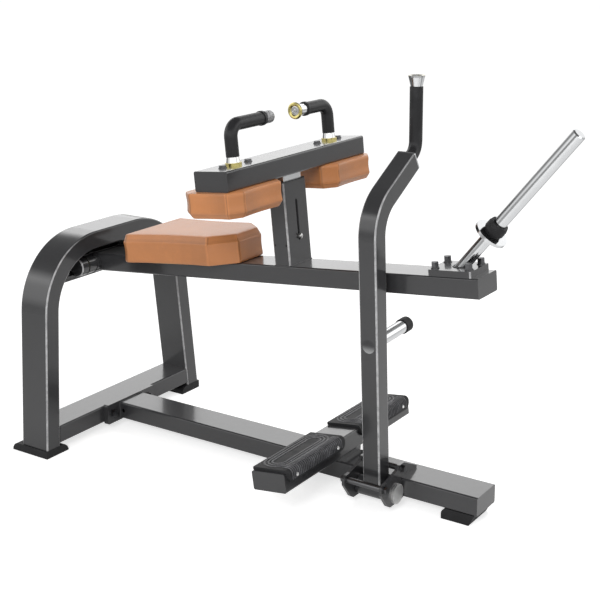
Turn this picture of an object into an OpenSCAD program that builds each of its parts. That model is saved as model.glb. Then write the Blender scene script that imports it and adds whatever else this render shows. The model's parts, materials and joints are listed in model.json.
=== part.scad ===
// Seated calf raise machine. Sizes are in millimetres.
// +X runs from the rear arch towards the weight horn, -Y is the side of the hand-operated catch,
// and +Z is up. Z = 0 is the floor, and the origin lies midway along the machine's length.

/* [Steel tube] */
// Wide side of the main rectangular tube
tube_w = 100; // [90:1:110]
// Narrow side of the main rectangular tube
tube_t = 50; // [46:1:56]
// Wall of every square and rectangular tube
tube_wall = 3; // [2:0.5:4]
// Outer corner radius of every square and rectangular tube
tube_r = 5; // [4:0.5:7]
// Thickness of the plates welded over open tube ends
end_plate_t = 4; // [3:0.5:6]

/* [Rear arch] */
// Height of the arch over the floor
arch_h = 607; // [590:1:660]
// Straight length across the top of the arch
arch_flat = 170; // [140:1:200]
// Centreline radius of the two bends
arch_bend = 190; // [170:1:200]
// Outward lean of each leg, in degrees
arch_splay = 5.1; // [3:0.1:6]
// Height of the rubber shoe under each leg
rear_foot_h = 23; // [18:1:28]
// How far the shoe reaches out behind the leg
rear_foot_back = 36; // [20:1:50]
// How far the shoe reaches in beside the leg
rear_foot_in = 30; // [15:1:40]

/* [Base] */
// Length of the base tube with its end plate
base_len = 1173; // [1150:1:1250]
// Height of the rubber foot under the front end
front_foot_h = 30; // [26:1:34]
// Length of the front foot at its top
front_foot_len = 75; // [60:1:90]
// Setback of the front foot from the end of the base tube
front_foot_setback = 7; // [4:1:20]
// Length of each of the two bolted flange plates, across the base
flange_w = 206; // [190:1:230]
// Thickness of each flange plate
flange_t = 8; // [6:1:10]
// How far the flange plates stand over and under the base tube
flange_rim = 5; // [3:1:8]
// Thread diameter of the flange bolts
flange_bolt_d = 12; // [10:1:14]
// Distance between the two flange bolts
flange_bolt_gap = 160; // [150:1:164]

/* [Footrest] */
// Distance from the front end of the base to the middle of the footrest
footrest_from_front = 443; // [420:1:480]
// Length of the footrest tube without its end plates
footrest_len = 600; // [560:1:640]
// Upward tilt of the footrest towards the front, in degrees
footrest_tilt = 7.5; // [5:0.5:10]
// Length of each rubber foot pad
foot_pad_len = 257; // [230:1:265]
// Bare tube between the two foot pads
foot_pad_gap = 80; // [60:1:100]
// Thickness of the rubber foot pads
foot_pad_t = 8; // [6:0.5:10]
// How far the pad's front flap hangs down over the tube
foot_pad_flap = 34; // [26:1:40]

/* [Rear pivot] */
// Drop from the underside of the arch to the lever's pivot
pivot_drop = 55; // [50:1:65]
// Diameter of the fixed pivot shaft
pivot_shaft_d = 30; // [25:1:32]
// Outer diameter of the lever's hub tube
hub_d = 54; // [52:1:56]
// Length of the lever's hub tube
hub_len = 190; // [180:1:200]
// Outer diameter of the bearing blocks
block_d = 55; // [52:1:60]
// Width of the round part of each bearing block
block_w = 25; // [20:1:30]
// Length of each bearing block's foot, across the machine
block_foot_len = 78; // [70:1:90]
// Thickness of the bracket that carries the bearing blocks
shelf_t = 5; // [4:1:6]
// How far the bracket's back stands behind the pivot
shelf_back = 49; // [45:1:50]
// How far the bracket's front edge stays behind the pivot
shelf_front = 8; // [4:1:12]

/* [Lever] */
// Lift of the lever over level in the stored pose, in degrees
lever_lift = 5; // [3:0.5:8]
// Length of the lever's beam from the pivot to its front end
beam_len = 1228; // [1215:1:1270]
// Distance along the beam from the pivot to the mast
mast_at = 673; // [660:1:700]
// Height of the mast's sleeve over the beam
sleeve_h = 215; // [205:1:230]
// Length of the slot in the front wall of the sleeve
slot_len = 108; // [104:1:114]
// Width of that slot
slot_w = 9; // [8:0.5:11]
// Height of the slot's lower end over the beam
slot_from_beam = 60; // [56:1:66]

/* [Seat] */
// Distance along the beam from the pivot to the back of the seat
seat_from = 188; // [175:1:200]
// Length of the seat cushion
seat_len = 350; // [330:1:365]
// Width of the seat at its back
seat_w = 262; // [240:1:280]
// Width of the seat where its front corners are cut
seat_front_w = 214; // [200:1:230]
// Width of the seat's front face
seat_nose_w = 102; // [90:1:120]
// Length of the cut front corners
seat_nose_len = 64; // [50:1:80]
// Thickness of the seat cushion
seat_t = 80; // [70:1:86]
// Distance between the two seat bolts
seat_bolt_gap = 163; // [140:1:180]

/* [Carriage] */
// Long side of the chromed inner post
post_w = 80; // [76:1:84]
// Short side of the chromed inner post
post_t = 40; // [37:0.5:41]
// Height of the bare post between the sleeve and the cross bar
post_bare = 22; // [10:1:30]
// Length of the cross bar without its end plates
bar_len = 598; // [580:1:640]
// Travel of the carriage up from its lowest setting
carriage_travel = 90; // [60:1:92]
// Distance from the middle of the machine to the middle of each thigh pad
thigh_pad_y = 213; // [205:1:220]
// Length of each thigh pad
thigh_pad_len = 232; // [215:1:240]
// Width of each thigh pad, from front to back
thigh_pad_w = 168; // [155:1:180]
// Thickness of each thigh pad
thigh_pad_t = 66; // [58:1:74]
// Distance between the two bolts of a thigh pad
thigh_bolt_gap = 101; // [90:1:110]

/* [Handles] */
// Diameter of the bent handle bars
handle_d = 25; // [22:1:26]
// Outer diameter of the rubber grips
grip_d = 33; // [31:1:36]
// Distance from the middle of the machine to each handle's upright
handle_y = 211; // [200:1:214]
// Height of a handle's cross piece over the cross bar
handle_h = 97; // [85:1:110]
// Centreline radius of the handles' bends
handle_bend = 30; // [26:1:36]
// Length of the near handle's cross piece from its upright
reach_near = 174; // [150:1:180]
// Length of the far handle's cross piece from its upright
reach_far = 150; // [140:1:180]
// Height of the chromed neck under each grip
neck_h = 21; // [16:1:26]

/* [Weight horn] */
// Diameter of the weight horn where the plates go
horn_d = 32; // [28:1:34]
// Diameter of its root, up to the rubber buffer
horn_root_d = 30; // [26:1:32]
// Length of the weight horn
horn_len = 435; // [380:1:460]
// Angle between the horn and the beam, in degrees
horn_angle = 46; // [40:1:60]
// Distance along the beam from the pivot to the foot of the horn
horn_at = 1164; // [1150:1:1168]
// Length of the two horn plates, along the beam
horn_plate_len = 114; // [110:1:122]
// Width of the two horn plates
horn_plate_w = 99; // [90:1:100]
// Thickness of each horn plate
horn_plate_t = 8; // [6:1:10]
// Distance up the horn to the stop disc
stop_at = 110; // [100:1:130]
// Diameter of the stop disc
stop_disc_d = 84; // [70:1:96]
// Diameter of the rubber buffer on the disc
buffer_d = 50; // [46:1:60]
// Length of the rubber buffer
buffer_len = 31; // [26:1:40]

/* [Catch] */
// Distance from the front end of the base to the middle of the catch post
catch_from_front = 270; // [262:1:290]
// Side of the square catch post
catch_tube = 50; // [46:1:52]
// Sideways place of the catch's axis, measured from the middle of the machine
catch_axis_y = 77; // [76:1:82]
// Height of the catch's axis over the floor
catch_axis_h = 49; // [46:1:52]
// Diameter of the catch's fixed shaft
catch_shaft_d = 30; // [26:1:32]
// Outer diameter of the catch's hub tube
catch_hub_d = 50; // [46:1:52]
// Clear width between the two bracket plates
bracket_gap = 100; // [90:1:110]
// Thickness of each bracket plate
bracket_t = 8; // [6:1:10]
// Outward lean of the catch post at rest, in degrees
catch_lean = 2.5; // [2:0.1:3]
// Swing of the catch between its two stops, in degrees
catch_swing = 28; // [20:1:30]
// Straight length of the post from its axis to the bend
catch_straight = 659; // [640:1:700]
// Centreline radius of the post's bend
catch_bend = 105; // [95:1:125]
// Rise of the post's upper arm over level, in degrees
catch_arm_rise = 30; // [25:1:35]
// Length of the upper arm past the bend
catch_arm_len = 134; // [120:1:150]
// Height of the lever's pivot over the rest peg
peg_drop = 59; // [50:1:70]
// Diameter of the rest peg
peg_d = 34; // [30:1:38]
// Length of the rest peg from the inner face of the post
peg_len = 135; // [125:1:150]
// Length of the catch's upright grip
catch_grip_len = 132; // [110:1:150]

/* [Hidden] */

// Gaps
running_gap = 0.05;   // radial, between a shaft and the bore that turns on it
side_gap = 1;         // between a turning hub and the cheek beside it
shelf_gap = 2;        // between the lever's hub and the shelf under it
seat_gap = 0.3;       // between a stop and what comes to rest on it
bolt_gap = 0.5;       // radial, round a bolt's shank
liner_gap = 0.3;      // round the inner post in its liner
grip_fit = 0.2;       // between a handle's bar and its grip or cap, across
weld_gap = 0.3;       // between a bar and the hole it is welded into, across
bend_draw = 0.1;      // how much a tube narrows on each side where it is bent
lap = 1.5;            // how far the full size of a straight run reaches into its bend
eps = 1;              // how far a cutting tool runs past the face it opens

// Colours
paint = [0.2, 0.2, 0.21];
chrome = [0.82, 0.83, 0.85];
brass = [0.83, 0.72, 0.42];
zinc = [0.62, 0.63, 0.65];
rubber = [0.1, 0.1, 0.1];
leather = [0.68, 0.42, 0.23];
plywood = [0.72, 0.58, 0.4];
plastic = [0.15, 0.15, 0.16];

// Heights of the base
base_bottom = front_foot_h;
base_top = front_foot_h + tube_t;
base_mid = front_foot_h + tube_t / 2;

// The horn's tip and the rear shoe are the two ends of the machine
horn_top_n = tube_t / 2 + 2 * horn_plate_t;
pivot_from_front = base_len + 2 * flange_t + tube_w / 2;
horn_dir = horn_angle + lever_lift;
horn_tip_from_pivot = horn_at * cos(lever_lift) - horn_top_n * sin(lever_lift)
    + horn_len * cos(horn_dir) + horn_d / 2 * sin(horn_dir);
rear_from_front = pivot_from_front + tube_w / 2 + rear_foot_back;
front_x = (rear_from_front - (horn_tip_from_pivot - pivot_from_front)) / 2;
pivot_x = front_x - pivot_from_front;
cross_x = pivot_x;
flange_x = cross_x + tube_w / 2;
base_rear_x = front_x - base_len;
footrest_x = front_x - footrest_from_front;
catch_x = front_x - catch_from_front;

// Legs of the arch
pivot_h = arch_h - tube_t - pivot_drop;
bend_z = arch_h - tube_t / 2 - arch_bend;
leg_outer_bend = arch_bend + tube_t / 2;
leg_outer_floor = arch_flat / 2 + leg_outer_bend / cos(arch_splay) + bend_z * tan(arch_splay);
function leg_outer_y(z) = leg_outer_floor - z * tan(arch_splay);
function leg_inner_y(z) = leg_outer_y(z) - tube_t / cos(arch_splay);

// Rear pivot
hub_ring_d = hub_d + 4;
shelf_top = pivot_h - hub_ring_d / 2 - shelf_gap;
shelf_z = shelf_top - shelf_t;
hub_half = hub_len / 2;
bush_flange_t = 4;
bush_len = 45;
block_y = hub_half + bush_flange_t + side_gap;
block_foot_t = 8;
block_end_wall = 3;
block_rise = 20;      // height of the block's body over the pivot
block_back = shelf_back - shelf_t - weld_gap;
shaft_half = block_y + block_w - block_end_wall - seat_gap;
block_bolt_d = 10;
block_bolt_edge = 13; // from a bolt to the end of the foot, and to the round housing
block_bolt_x = -(block_back + shelf_front) / 2;
block_bolt_y = [block_y + block_w + block_bolt_edge, block_y + block_foot_len - block_bolt_edge];
hub_bore_d = pivot_shaft_d + 7;
arch_inner_bend = arch_bend - tube_t / 2;

// Lever, in its own frame: x along the beam from the pivot, z square to it
beam_top = tube_t / 2;
beam_start = 5;
sleeve_top = beam_top + sleeve_h;
bar_bottom = sleeve_top + post_bare;
bar_mid = bar_bottom + tube_t / 2;
bar_top = bar_bottom + tube_t;
liner_bottom = beam_top + 4;
slot_bottom = beam_top + slot_from_beam;
slot_top = slot_bottom + slot_len;
guide_bolt_d = 8;
guide_bolt_rest = 6.5;  // from the end of the slot's straight sides to the bolt at rest
guide_bolt_n = slot_bottom + slot_w / 2 + guide_bolt_rest;
post_bottom = beam_top + 10;
pin_d = 12;
pin_rise = 50;        // height of the pull pin over the sleeve's middle
pin_n = (sleeve_top + beam_top) / 2 + pin_rise;
pin_pitch = 30;
pin_reach = 12;
barrel_d = 24;
barrel_len = 22;
knob_d = 30;

// Seat
seat_gap_n = 0.5;
seat_bottom = beam_top + seat_gap_n;
seat_mid = seat_from + seat_len / 2;
seat_bolt_back = 43;  // how far the two bolts sit behind the seat's middle
seat_bolt_mid = seat_mid - seat_bolt_back;
seat_bolt_d = 10;
board_t = 13;
board_inset = 14;
seat_edge_drop = 17;  // height of the slanted band under the seat's top
thigh_edge_drop = 12; // the same on the thigh pads
pad_edge_in = 11;     // how far that band leans in
pad_crown = 2.5;      // rise of a cushion's middle over its edge
pad_draw = 2.5;       // how far a cushion's sides are drawn in at their middle

// Horn
horn_plate_back = 11; // how far the plates' middle sits behind the foot of the horn
horn_plate_mid = horn_at - horn_plate_back;
horn_bolt_gap_x = horn_plate_len - 25;
horn_bolt_gap_y = horn_plate_w - 35;
horn_bolt_head = 14;
horn_bolt_d = 10;
stop_disc_t = 8;
horn_step_at = stop_at + stop_disc_t + buffer_len + side_gap;

// Footrest
footrest_z = base_top + tube_w / 2 * sin(footrest_tilt) + tube_t / 2 * cos(footrest_tilt);
foot_pad_mid = foot_pad_gap / 2 + foot_pad_len / 2;
rivet_inset = 36;
rivet_up = 13;

// Catch
peg_at = pivot_h - catch_axis_h - peg_drop;
bracket_in = bracket_gap / 2;
bracket_out = bracket_in + bracket_t;
spacer_d = 16;
tie_bolt_d = 10;
post_half = catch_tube / 2;
stop_reach = post_half + spacer_d / 2 + seat_gap;
// The inner stop stands beside the post at rest, and the outer stop beside it after the swing
stop_in_up = 57;
stop_out_r = 67;
stop_out_angle = catch_lean + catch_swing + asin(stop_reach / stop_out_r);
stop_in_y = -catch_axis_y + (stop_reach - stop_in_up * sin(catch_lean)) / cos(catch_lean);
stop_in_z = catch_axis_h + stop_in_up;
stop_out_y = -catch_axis_y - stop_out_r * sin(stop_out_angle);
stop_out_z = catch_axis_h + stop_out_r * cos(stop_out_angle);
catch_turn = 90 + catch_lean - catch_arm_rise;
post_foot = 12;
handle_run = 22;
catch_handle_bend = 38;

// Grips and their caps
cap_len = 43;
cap_wide_d = 40;
cap_rim = 4;
cap_plug = 7;
grip_flange_d = grip_d + 4;
grip_flange_w = 8;
catch_cap_len = 27;

// Shared shapes

// Rectangle with round corners, centred
module round_rect(w, h, r) {
    square([w - 2 * r, h], center = true);
    square([w, h - 2 * r], center = true);
    for (x = [-1, 1], y = [-1, 1])
        translate([x * (w / 2 - r), y * (h / 2 - r)])
            circle(r, $fn = 32);
}

// Section of a rectangular tube
module tube_section(w, h) {
    difference() {
        round_rect(w, h, tube_r);
        round_rect(w - 2 * tube_wall, h - 2 * tube_wall, max(tube_r - tube_wall, 1));
    }
}

// Turns an extrusion so that it runs along +X, with the outline's x along Y and its y along Z
module along_x() {
    rotate([90, 0, 90]) children();
}

// Turns an extrusion so that it runs along -Y, with the outline's x along X and its y along Z
module along_y() {
    rotate([90, 0, 0]) children();
}

module both_sides() {
    children();
    mirror([0, 1, 0]) children();
}

module rod(d, len) {
    cylinder(d = d, h = len, $fn = 64);
}

// Hexagon bolt with a washer under its head at z = 0, its shank down and its nut at z = -grip
module hex_bolt(d, grip, nut = true, head_h = 0) {
    head = head_h > 0 ? head_h : 0.65 * d;
    washer_t = 2;
    nut_h = 0.8 * d;
    cylinder(d = 2.1 * d, h = washer_t, $fn = 48);
    translate([0, 0, washer_t]) cylinder(d = 1.9 * d, h = head, $fn = 6);
    translate([0, 0, -grip - (nut ? nut_h + 3 : 0)])
        cylinder(d = d, h = grip + washer_t + (nut ? nut_h + 3 : 0), $fn = 48);
    if (nut)
        translate([0, 0, -grip - nut_h]) cylinder(d = 1.9 * d, h = nut_h, $fn = 6);
}

function unit(v) = v / norm(v);

// Corner i of a closed outline, rounded with radius r by an arc of k steps
function corner_arc(pts, i, r, k) =
    let (n = len(pts),
        p = pts[i],
        a = unit(pts[(i + n - 1) % n] - p),
        b = unit(pts[(i + 1) % n] - p),
        half = acos(a * b) / 2,
        c = p + unit(a + b) * r / sin(half),
        t1 = p + a * r / tan(half) - c,
        t2 = p + b * r / tan(half) - c,
        a1 = atan2(t1[1], t1[0]),
        turn = atan2(t1[0] * t2[1] - t1[1] * t2[0], t1 * t2))
    [for (j = [0 : k]) c + r * [cos(a1 + turn * j / k), sin(a1 + turn * j / k)]];

function rounded_outline(pts, radii, k = 6) =
    [for (i = [0 : len(pts) - 1]) each corner_arc(pts, i, radii[i], k)];

// The same outline with every edge moved in by d, for corners given anticlockwise
function inset_outline(pts, d) =
    [for (i = [0 : len(pts) - 1])
        let (n = len(pts),
            e1 = unit(pts[i] - pts[(i + n - 1) % n]),
            e2 = unit(pts[(i + 1) % n] - pts[i]),
            n1 = [-e1[1], e1[0]],
            n2 = [-e2[1], e2[0]])
        pts[i] + (n1 + n2) / (1 + n1 * n2) * d];

// One level of a cushion: the outline drawn in by d at height z
function cushion_ring(pts, radii, d, z) =
    [for (p = rounded_outline(inset_outline(pts, d), [for (r = radii) max(r - d, 2)])) [p[0], p[1], z]];

// Closed skin over levels that all have the same number of points
module loft(rings) {
    m = len(rings[0]);
    last = len(rings) - 1;
    points = [for (ring = rings) each ring];
    sides = [for (k = [0 : last - 1], i = [0 : m - 1])
        let (a = k * m + i,
            b = k * m + (i + 1) % m)
        each [[a, a + m, b], [b, a + m, b + m]]];
    low_mid = len(points);
    low = [for (i = [0 : m - 1]) [low_mid, i, (i + 1) % m]];
    high = [for (i = [0 : m - 1]) [low_mid + 1, last * m + (i + 1) % m, last * m + i]];
    function middle(ring, z) = [for (axis = [0, 1]) [for (p = ring) p[axis]] * [for (p = ring) 1] / m];
    centre_low = [each middle(rings[0]), rings[0][0][2]];
    centre_high = [each middle(rings[last]), rings[last][0][2] + 0.6];
    polyhedron(points = [each points, centre_low, centre_high], faces = [each sides, each low, each high]);
}

// Upholstered cushion on z = 0: drawn-in sides, a slanted band and a crowned top
module cushion(pts, radii, t, edge_drop) {
    edge = t - pad_crown;
    band = edge - edge_drop;
    loft([
        cushion_ring(pts, radii, 5, 0),
        cushion_ring(pts, radii, 1, 3),
        cushion_ring(pts, radii, 0, 9),
        cushion_ring(pts, radii, pad_draw, band / 2),
        cushion_ring(pts, radii, 0, band - 4),
        cushion_ring(pts, radii, 1, band),
        cushion_ring(pts, radii, pad_edge_in - 2, edge - 2),
        cushion_ring(pts, radii, pad_edge_in + 2, edge),
        cushion_ring(pts, radii, pad_edge_in + 16, edge + 0.6 * pad_crown),
        cushion_ring(pts, radii, pad_edge_in + 32, t - 0.6)
    ]);
}

// Plywood board that lies in the underside of a cushion
module board(pts, radii) {
    board_radii = [for (r = radii) max(r - board_inset, 4)];
    linear_extrude(board_t) polygon(rounded_outline(inset_outline(pts, board_inset), board_radii));
}

module board_recess(pts, radii) {
    inset = board_inset - seat_gap;
    translate([0, 0, -eps])
        linear_extrude(board_t + eps + seat_gap)
            polygon(rounded_outline(inset_outline(pts, inset), [for (r = radii) max(r - inset, 4)]));
}

// Frame of the lever: x along the beam from the pivot, z square to the beam
module on_lever() {
    translate([pivot_x, 0, pivot_h]) rotate([0, -lever_lift, 0]) children();
}

// Frame of the mast: z = 0 at the middle of the beam
module on_mast() {
    on_lever() translate([mast_at, 0, 0]) children();
}

// Frame of the horn: z along the horn from the top plate
module on_horn() {
    on_lever() translate([horn_at, 0, horn_top_n]) rotate([0, 90 - horn_angle, 0]) children();
}

// Frame of the catch: z up along the post from its axis
module on_catch() {
    translate([catch_x, -catch_axis_y, catch_axis_h]) rotate([catch_lean, 0, 0]) children();
}

// Frame of the footrest: x forwards along its top, z square to it
module on_footrest() {
    translate([footrest_x, 0, footrest_z]) rotate([0, -footrest_tilt, 0]) children();
}

// Everything outside the inner faces of the arch's legs
module beyond_legs() {
    reach = arch_h;
    both_sides()
        translate([pivot_x - reach / 2, leg_inner_y(0), 0])
            rotate([arch_splay, 0, 0])
                translate([0, 0, -reach / 2]) cube([reach, reach, 2 * reach]);
}

// Rear frame

// Solid section of a bent tube w by h, drawn in by d all round
module run_section(w, h, d) {
    round_rect(w - 2 * d, h - 2 * d, max(tube_r - d, 1));
}

// Run of the arch's tube, drawn in by d all round, in a frame with x across and y up
module arch_run(d, leg) {
    translate([0, arch_h - tube_t / 2, 0])
        rotate([0, 90, 0]) linear_extrude(arch_flat + 2 * lap, center = true)
            rotate([0, 0, 90]) run_section(tube_t, tube_w, d);
    for (side = [0, 1])
        mirror([side, 0, 0])
            translate([arch_flat / 2, bend_z, 0])
                rotate([0, 0, arch_splay]) {
                    rotate_extrude(angle = 90 - arch_splay, $fn = 96)
                        translate([arch_bend, 0]) run_section(tube_t, tube_w, d + bend_draw);
                    translate([arch_bend, lap, 0])
                        along_y() linear_extrude(leg + lap) run_section(tube_t, tube_w, d);
                }
}

module rear_arch() {
    leg = (bend_z - rear_foot_h) / cos(arch_splay) + tube_t;
    color(paint)
        difference() {
            translate([pivot_x, 0, 0]) along_x()
                difference() {
                    arch_run(0, leg);
                    arch_run(tube_wall, leg + eps);
                }
            translate([pivot_x - tube_w, -arch_h, -arch_h])
                cube([2 * tube_w, 2 * arch_h, arch_h + rear_foot_h]);
        }
}

module rear_cross_tube() {
    color(paint)
        difference() {
            translate([cross_x, 0, base_mid])
                along_y() linear_extrude(2 * leg_outer_floor, center = true) tube_section(tube_w, tube_t);
            beyond_legs();
            for (side = [-1, 1])
                translate([flange_x - tube_wall - eps, side * flange_bolt_gap / 2, base_mid])
                    along_x() rod(flange_bolt_d + 2 * bolt_gap, tube_wall + 2 * eps);
        }
}

// Outline of a shoe, seen from one side, with its outer end rounded from floor to top
module shoe_side(len) {
    square([len - rear_foot_h, rear_foot_h]);
    translate([len - rear_foot_h, 0])
        intersection() {
            circle(rear_foot_h, $fn = 64);
            square(rear_foot_h);
        }
}

module rear_feet() {
    shoe_len = tube_w + rear_foot_back + 1;
    outer = leg_outer_y(rear_foot_h) + 4;
    shoe_w = outer - leg_inner_y(rear_foot_h) + rear_foot_in;
    color(rubber)
        both_sides()
            intersection() {
                translate([pivot_x + tube_w / 2 + 1, outer, 0])
                    mirror([1, 0, 0]) along_y() linear_extrude(shoe_w) shoe_side(shoe_len);
                translate([pivot_x + tube_w / 2 + 1, outer, 0])
                    rotate([0, 0, 180]) along_x() linear_extrude(shoe_len) shoe_side(shoe_w);
            }
}

module flange_outline() {
    round_rect(flange_w, tube_t + 2 * flange_rim, tube_r);
}

module flange_plate(x) {
    color(paint)
        translate([x, 0, base_mid])
            along_x()
                linear_extrude(flange_t)
                    difference() {
                        flange_outline();
                        for (side = [-1, 1])
                            translate([side * flange_bolt_gap / 2, 0])
                                circle(d = flange_bolt_d + 2 * bolt_gap, $fn = 48);
                    }
}

module rear_flange_plate() {
    flange_plate(flange_x);
}

module base_flange_plate() {
    flange_plate(flange_x + flange_t);
}

module flange_bolts() {
    color(zinc)
        for (side = [-1, 1])
            translate([flange_x + 2 * flange_t, side * flange_bolt_gap / 2, base_mid])
                rotate([0, 90, 0]) hex_bolt(flange_bolt_d, 2 * flange_t + tube_wall);
}

// Base

module base_tube() {
    plug_d = 12;
    plug_from_flange = 13;
    color(paint)
        difference() {
            translate([base_rear_x, 0, base_mid])
                along_x() linear_extrude(base_len - end_plate_t) tube_section(tube_w, tube_t);
            translate([base_rear_x + plug_from_flange, -tube_w / 2 + tube_wall + eps, base_mid])
                along_y() rod(plug_d, tube_wall + 2 * eps);
        }
}

module base_end_plate() {
    color(paint)
        translate([front_x - end_plate_t, 0, base_mid])
            along_x() linear_extrude(end_plate_t) round_rect(tube_w, tube_t, tube_r);
}

// Front foot, seen from the side: round at its rear end and undercut at its front end
module front_foot() {
    nose_r = 17;
    undercut = 15;
    x_front = front_x - front_foot_setback;
    x_rear = x_front - front_foot_len;
    color(rubber)
        along_y()
            linear_extrude(tube_w, center = true) {
                polygon([
                    [x_rear, 0],
                    [x_front - undercut, 0],
                    [x_front, front_foot_h],
                    [x_rear, front_foot_h]
                ]);
                translate([x_rear, front_foot_h - nose_r]) circle(nose_r, $fn = 64);
                translate([x_rear - nose_r, 0]) square([nose_r, front_foot_h - nose_r]);
            }
}

// Footrest

module footrest_tube() {
    color(paint)
        on_footrest()
            along_y() linear_extrude(footrest_len, center = true) tube_section(tube_w, tube_t);
}

module footrest_end_plates() {
    color(paint)
        on_footrest()
            both_sides()
                translate([0, footrest_len / 2 + end_plate_t, 0])
                    along_y() linear_extrude(end_plate_t) round_rect(tube_w, tube_t, tube_r);
}

// Wedge welded between the base and the tilted footrest
module footrest_wedge() {
    bottom_len = tube_w * cos(footrest_tilt);
    rear_x = footrest_x - tube_w / 2 * cos(footrest_tilt) + tube_t / 2 * sin(footrest_tilt);
    rear_land = tube_r + 4;
    color(paint)
        along_y()
            linear_extrude(tube_w, center = true)
                polygon([
                    [rear_x + rear_land, base_top],
                    [rear_x + bottom_len - tube_r, base_top],
                    [rear_x + bottom_len - tube_r, base_top + (bottom_len - tube_r) * tan(footrest_tilt)],
                    [rear_x + rear_land, base_top + rear_land * tan(footrest_tilt)]
                ]);
}

// Section of a foot pad: a tread over the tube and a flap down its front
module foot_pad_section() {
    top = tube_t / 2;
    front = tube_w / 2;
    bend = tube_r + foot_pad_t;
    difference() {
        union() {
            translate([-front + 1, top]) square([tube_w - 1 - tube_r, foot_pad_t]);
            translate([front, top + foot_pad_t - foot_pad_flap])
                square([foot_pad_t, foot_pad_flap - bend]);
            translate([front - tube_r, top - tube_r])
                intersection() {
                    circle(bend, $fn = 96);
                    square(bend);
                }
        }
        translate([front - tube_r, top - tube_r]) circle(tube_r, $fn = 32);
    }
}

// Grooves of the tread: long rings, one inside another
module tread_grooves() {
    groove_w = 3;
    groove_step = 10;
    ring_len = foot_pad_len - 24;
    ring_w = tube_w - 20;
    module long_ring(len, w) {
        difference() {
            round_rect(len, w, w / 2 - 0.5);
            round_rect(len - 2 * groove_w, w - 2 * groove_w, w / 2 - 0.5 - groove_w);
        }
    }
    for (k = [0 : 2])
        long_ring(ring_len - 2 * k * groove_step, ring_w - 2 * k * groove_step);
}

module foot_pad() {
    groove_depth = 2;
    flap_corner = 20;
    top = tube_t / 2 + foot_pad_t;
    color(rubber)
        on_footrest()
            difference() {
                translate([0, foot_pad_mid + foot_pad_len / 2, 0])
                    along_y() linear_extrude(foot_pad_len) foot_pad_section();
                translate([-4, foot_pad_mid, top - groove_depth])
                    rotate([0, 0, 90]) linear_extrude(groove_depth + eps) tread_grooves();
                for (end = [-1, 1])
                    translate([tube_w / 2 - eps, foot_pad_mid + end * foot_pad_len / 2, top - foot_pad_flap])
                        along_x() linear_extrude(foot_pad_t + 2 * eps) flap_corner_cut(flap_corner, -end);
                rivet_places() translate([-eps - foot_pad_t, 0, 0]) along_x()
                    rod(6 + 2 * bolt_gap, foot_pad_t + 2 * eps);
            }
}

// Waste outside a rounded lower corner of the flap
module flap_corner_cut(r, dir) {
    difference() {
        translate([dir > 0 ? -eps : -r, -eps]) square([r + eps, r + eps]);
        translate([dir * r, r]) circle(r, $fn = 48);
    }
}

// Places of one pad's two rivets, on the outer face of the flap
module rivet_places() {
    for (end = [-1, 1])
        translate([tube_w / 2 + foot_pad_t, foot_pad_mid + end * (foot_pad_len / 2 - rivet_inset),
            tube_t / 2 + foot_pad_t - foot_pad_flap + rivet_up])
            children();
}

module foot_pad_near() {
    mirror([0, 1, 0]) foot_pad();
}

module foot_pad_far() {
    foot_pad();
}

module foot_pad_rivets() {
    head_h = 3;
    color(zinc)
        on_footrest()
            both_sides()
                rivet_places() {
                    along_x() cylinder(d1 = 11, d2 = 7, h = head_h, $fn = 32);
                    translate([-foot_pad_t, 0, 0]) along_x() rod(6, foot_pad_t);
                }
}

// Rear pivot

// Room inside the arch between two heights, less the fit of what is welded into it
module arch_window(low, high) {
    intersection() {
        union() {
            for (side = [-1, 1])
                translate([side * arch_flat / 2, bend_z])
                    circle(arch_inner_bend - weld_gap / 2, $fn = 96);
            translate([-arch_flat / 2, bend_z]) square([arch_flat, arch_inner_bend - weld_gap]);
        }
        translate([-arch_h / 2, low]) square([arch_h, high - low]);
    }
}

// Bracket welded into the arch: a shelf for the bearing blocks and an upright plate behind it
module pivot_shelf() {
    plate_top = bend_z + arch_inner_bend - weld_gap;
    color(paint)
        difference() {
            translate([pivot_x - shelf_back, 0, 0])
                along_x() {
                    linear_extrude(shelf_back - shelf_front) arch_window(shelf_z, shelf_top);
                    linear_extrude(shelf_t) arch_window(shelf_z, plate_top);
                }
            block_bolt_places() translate([0, 0, -shelf_t - block_foot_t - eps])
                rod(block_bolt_d + 2 * running_gap, shelf_t + block_foot_t + 2 * eps);
        }
}

module block_bolt_places() {
    both_sides()
        for (y = block_bolt_y)
            translate([pivot_x + block_bolt_x, y, shelf_top + block_foot_t]) children();
}

// Bearing block: a round housing closed at its outer end, the body that carries it back over the
// shelf, and a bolted foot that reaches outwards
module bearing_blocks() {
    chamfer = 3;
    foot_set = 1;
    color(paint)
        both_sides()
            difference() {
                union() {
                    translate([pivot_x, 0, pivot_h])
                        rotate([-90, 0, 0])
                            rotate_extrude($fn = 96)
                                polygon([
                                    [0, block_y],
                                    [block_d / 2, block_y],
                                    [block_d / 2, block_y + block_w - chamfer],
                                    [block_d / 2 - chamfer, block_y + block_w],
                                    [0, block_y + block_w]
                                ]);
                    translate([pivot_x - block_back, block_y, shelf_top])
                        cube([block_back - shelf_front, block_w - chamfer, pivot_h + block_rise - shelf_top]);
                    translate([pivot_x - block_back, block_y, shelf_top])
                        cube([block_back - shelf_front - foot_set, block_foot_len, block_foot_t]);
                }
                translate([pivot_x, block_y + block_w - block_end_wall, pivot_h])
                    along_y() rod(pivot_shaft_d + 2 * running_gap, block_w);
                block_bolt_places() translate([0, 0, -block_foot_t - eps])
                    rod(block_bolt_d + 2 * bolt_gap, block_foot_t + 2 * eps);
            }
}

// Bolts into threads in the shelf, flush with its underside
module bearing_bolts() {
    color(zinc)
        block_bolt_places() hex_bolt(block_bolt_d, shelf_t + block_foot_t, nut = false);
}

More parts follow.
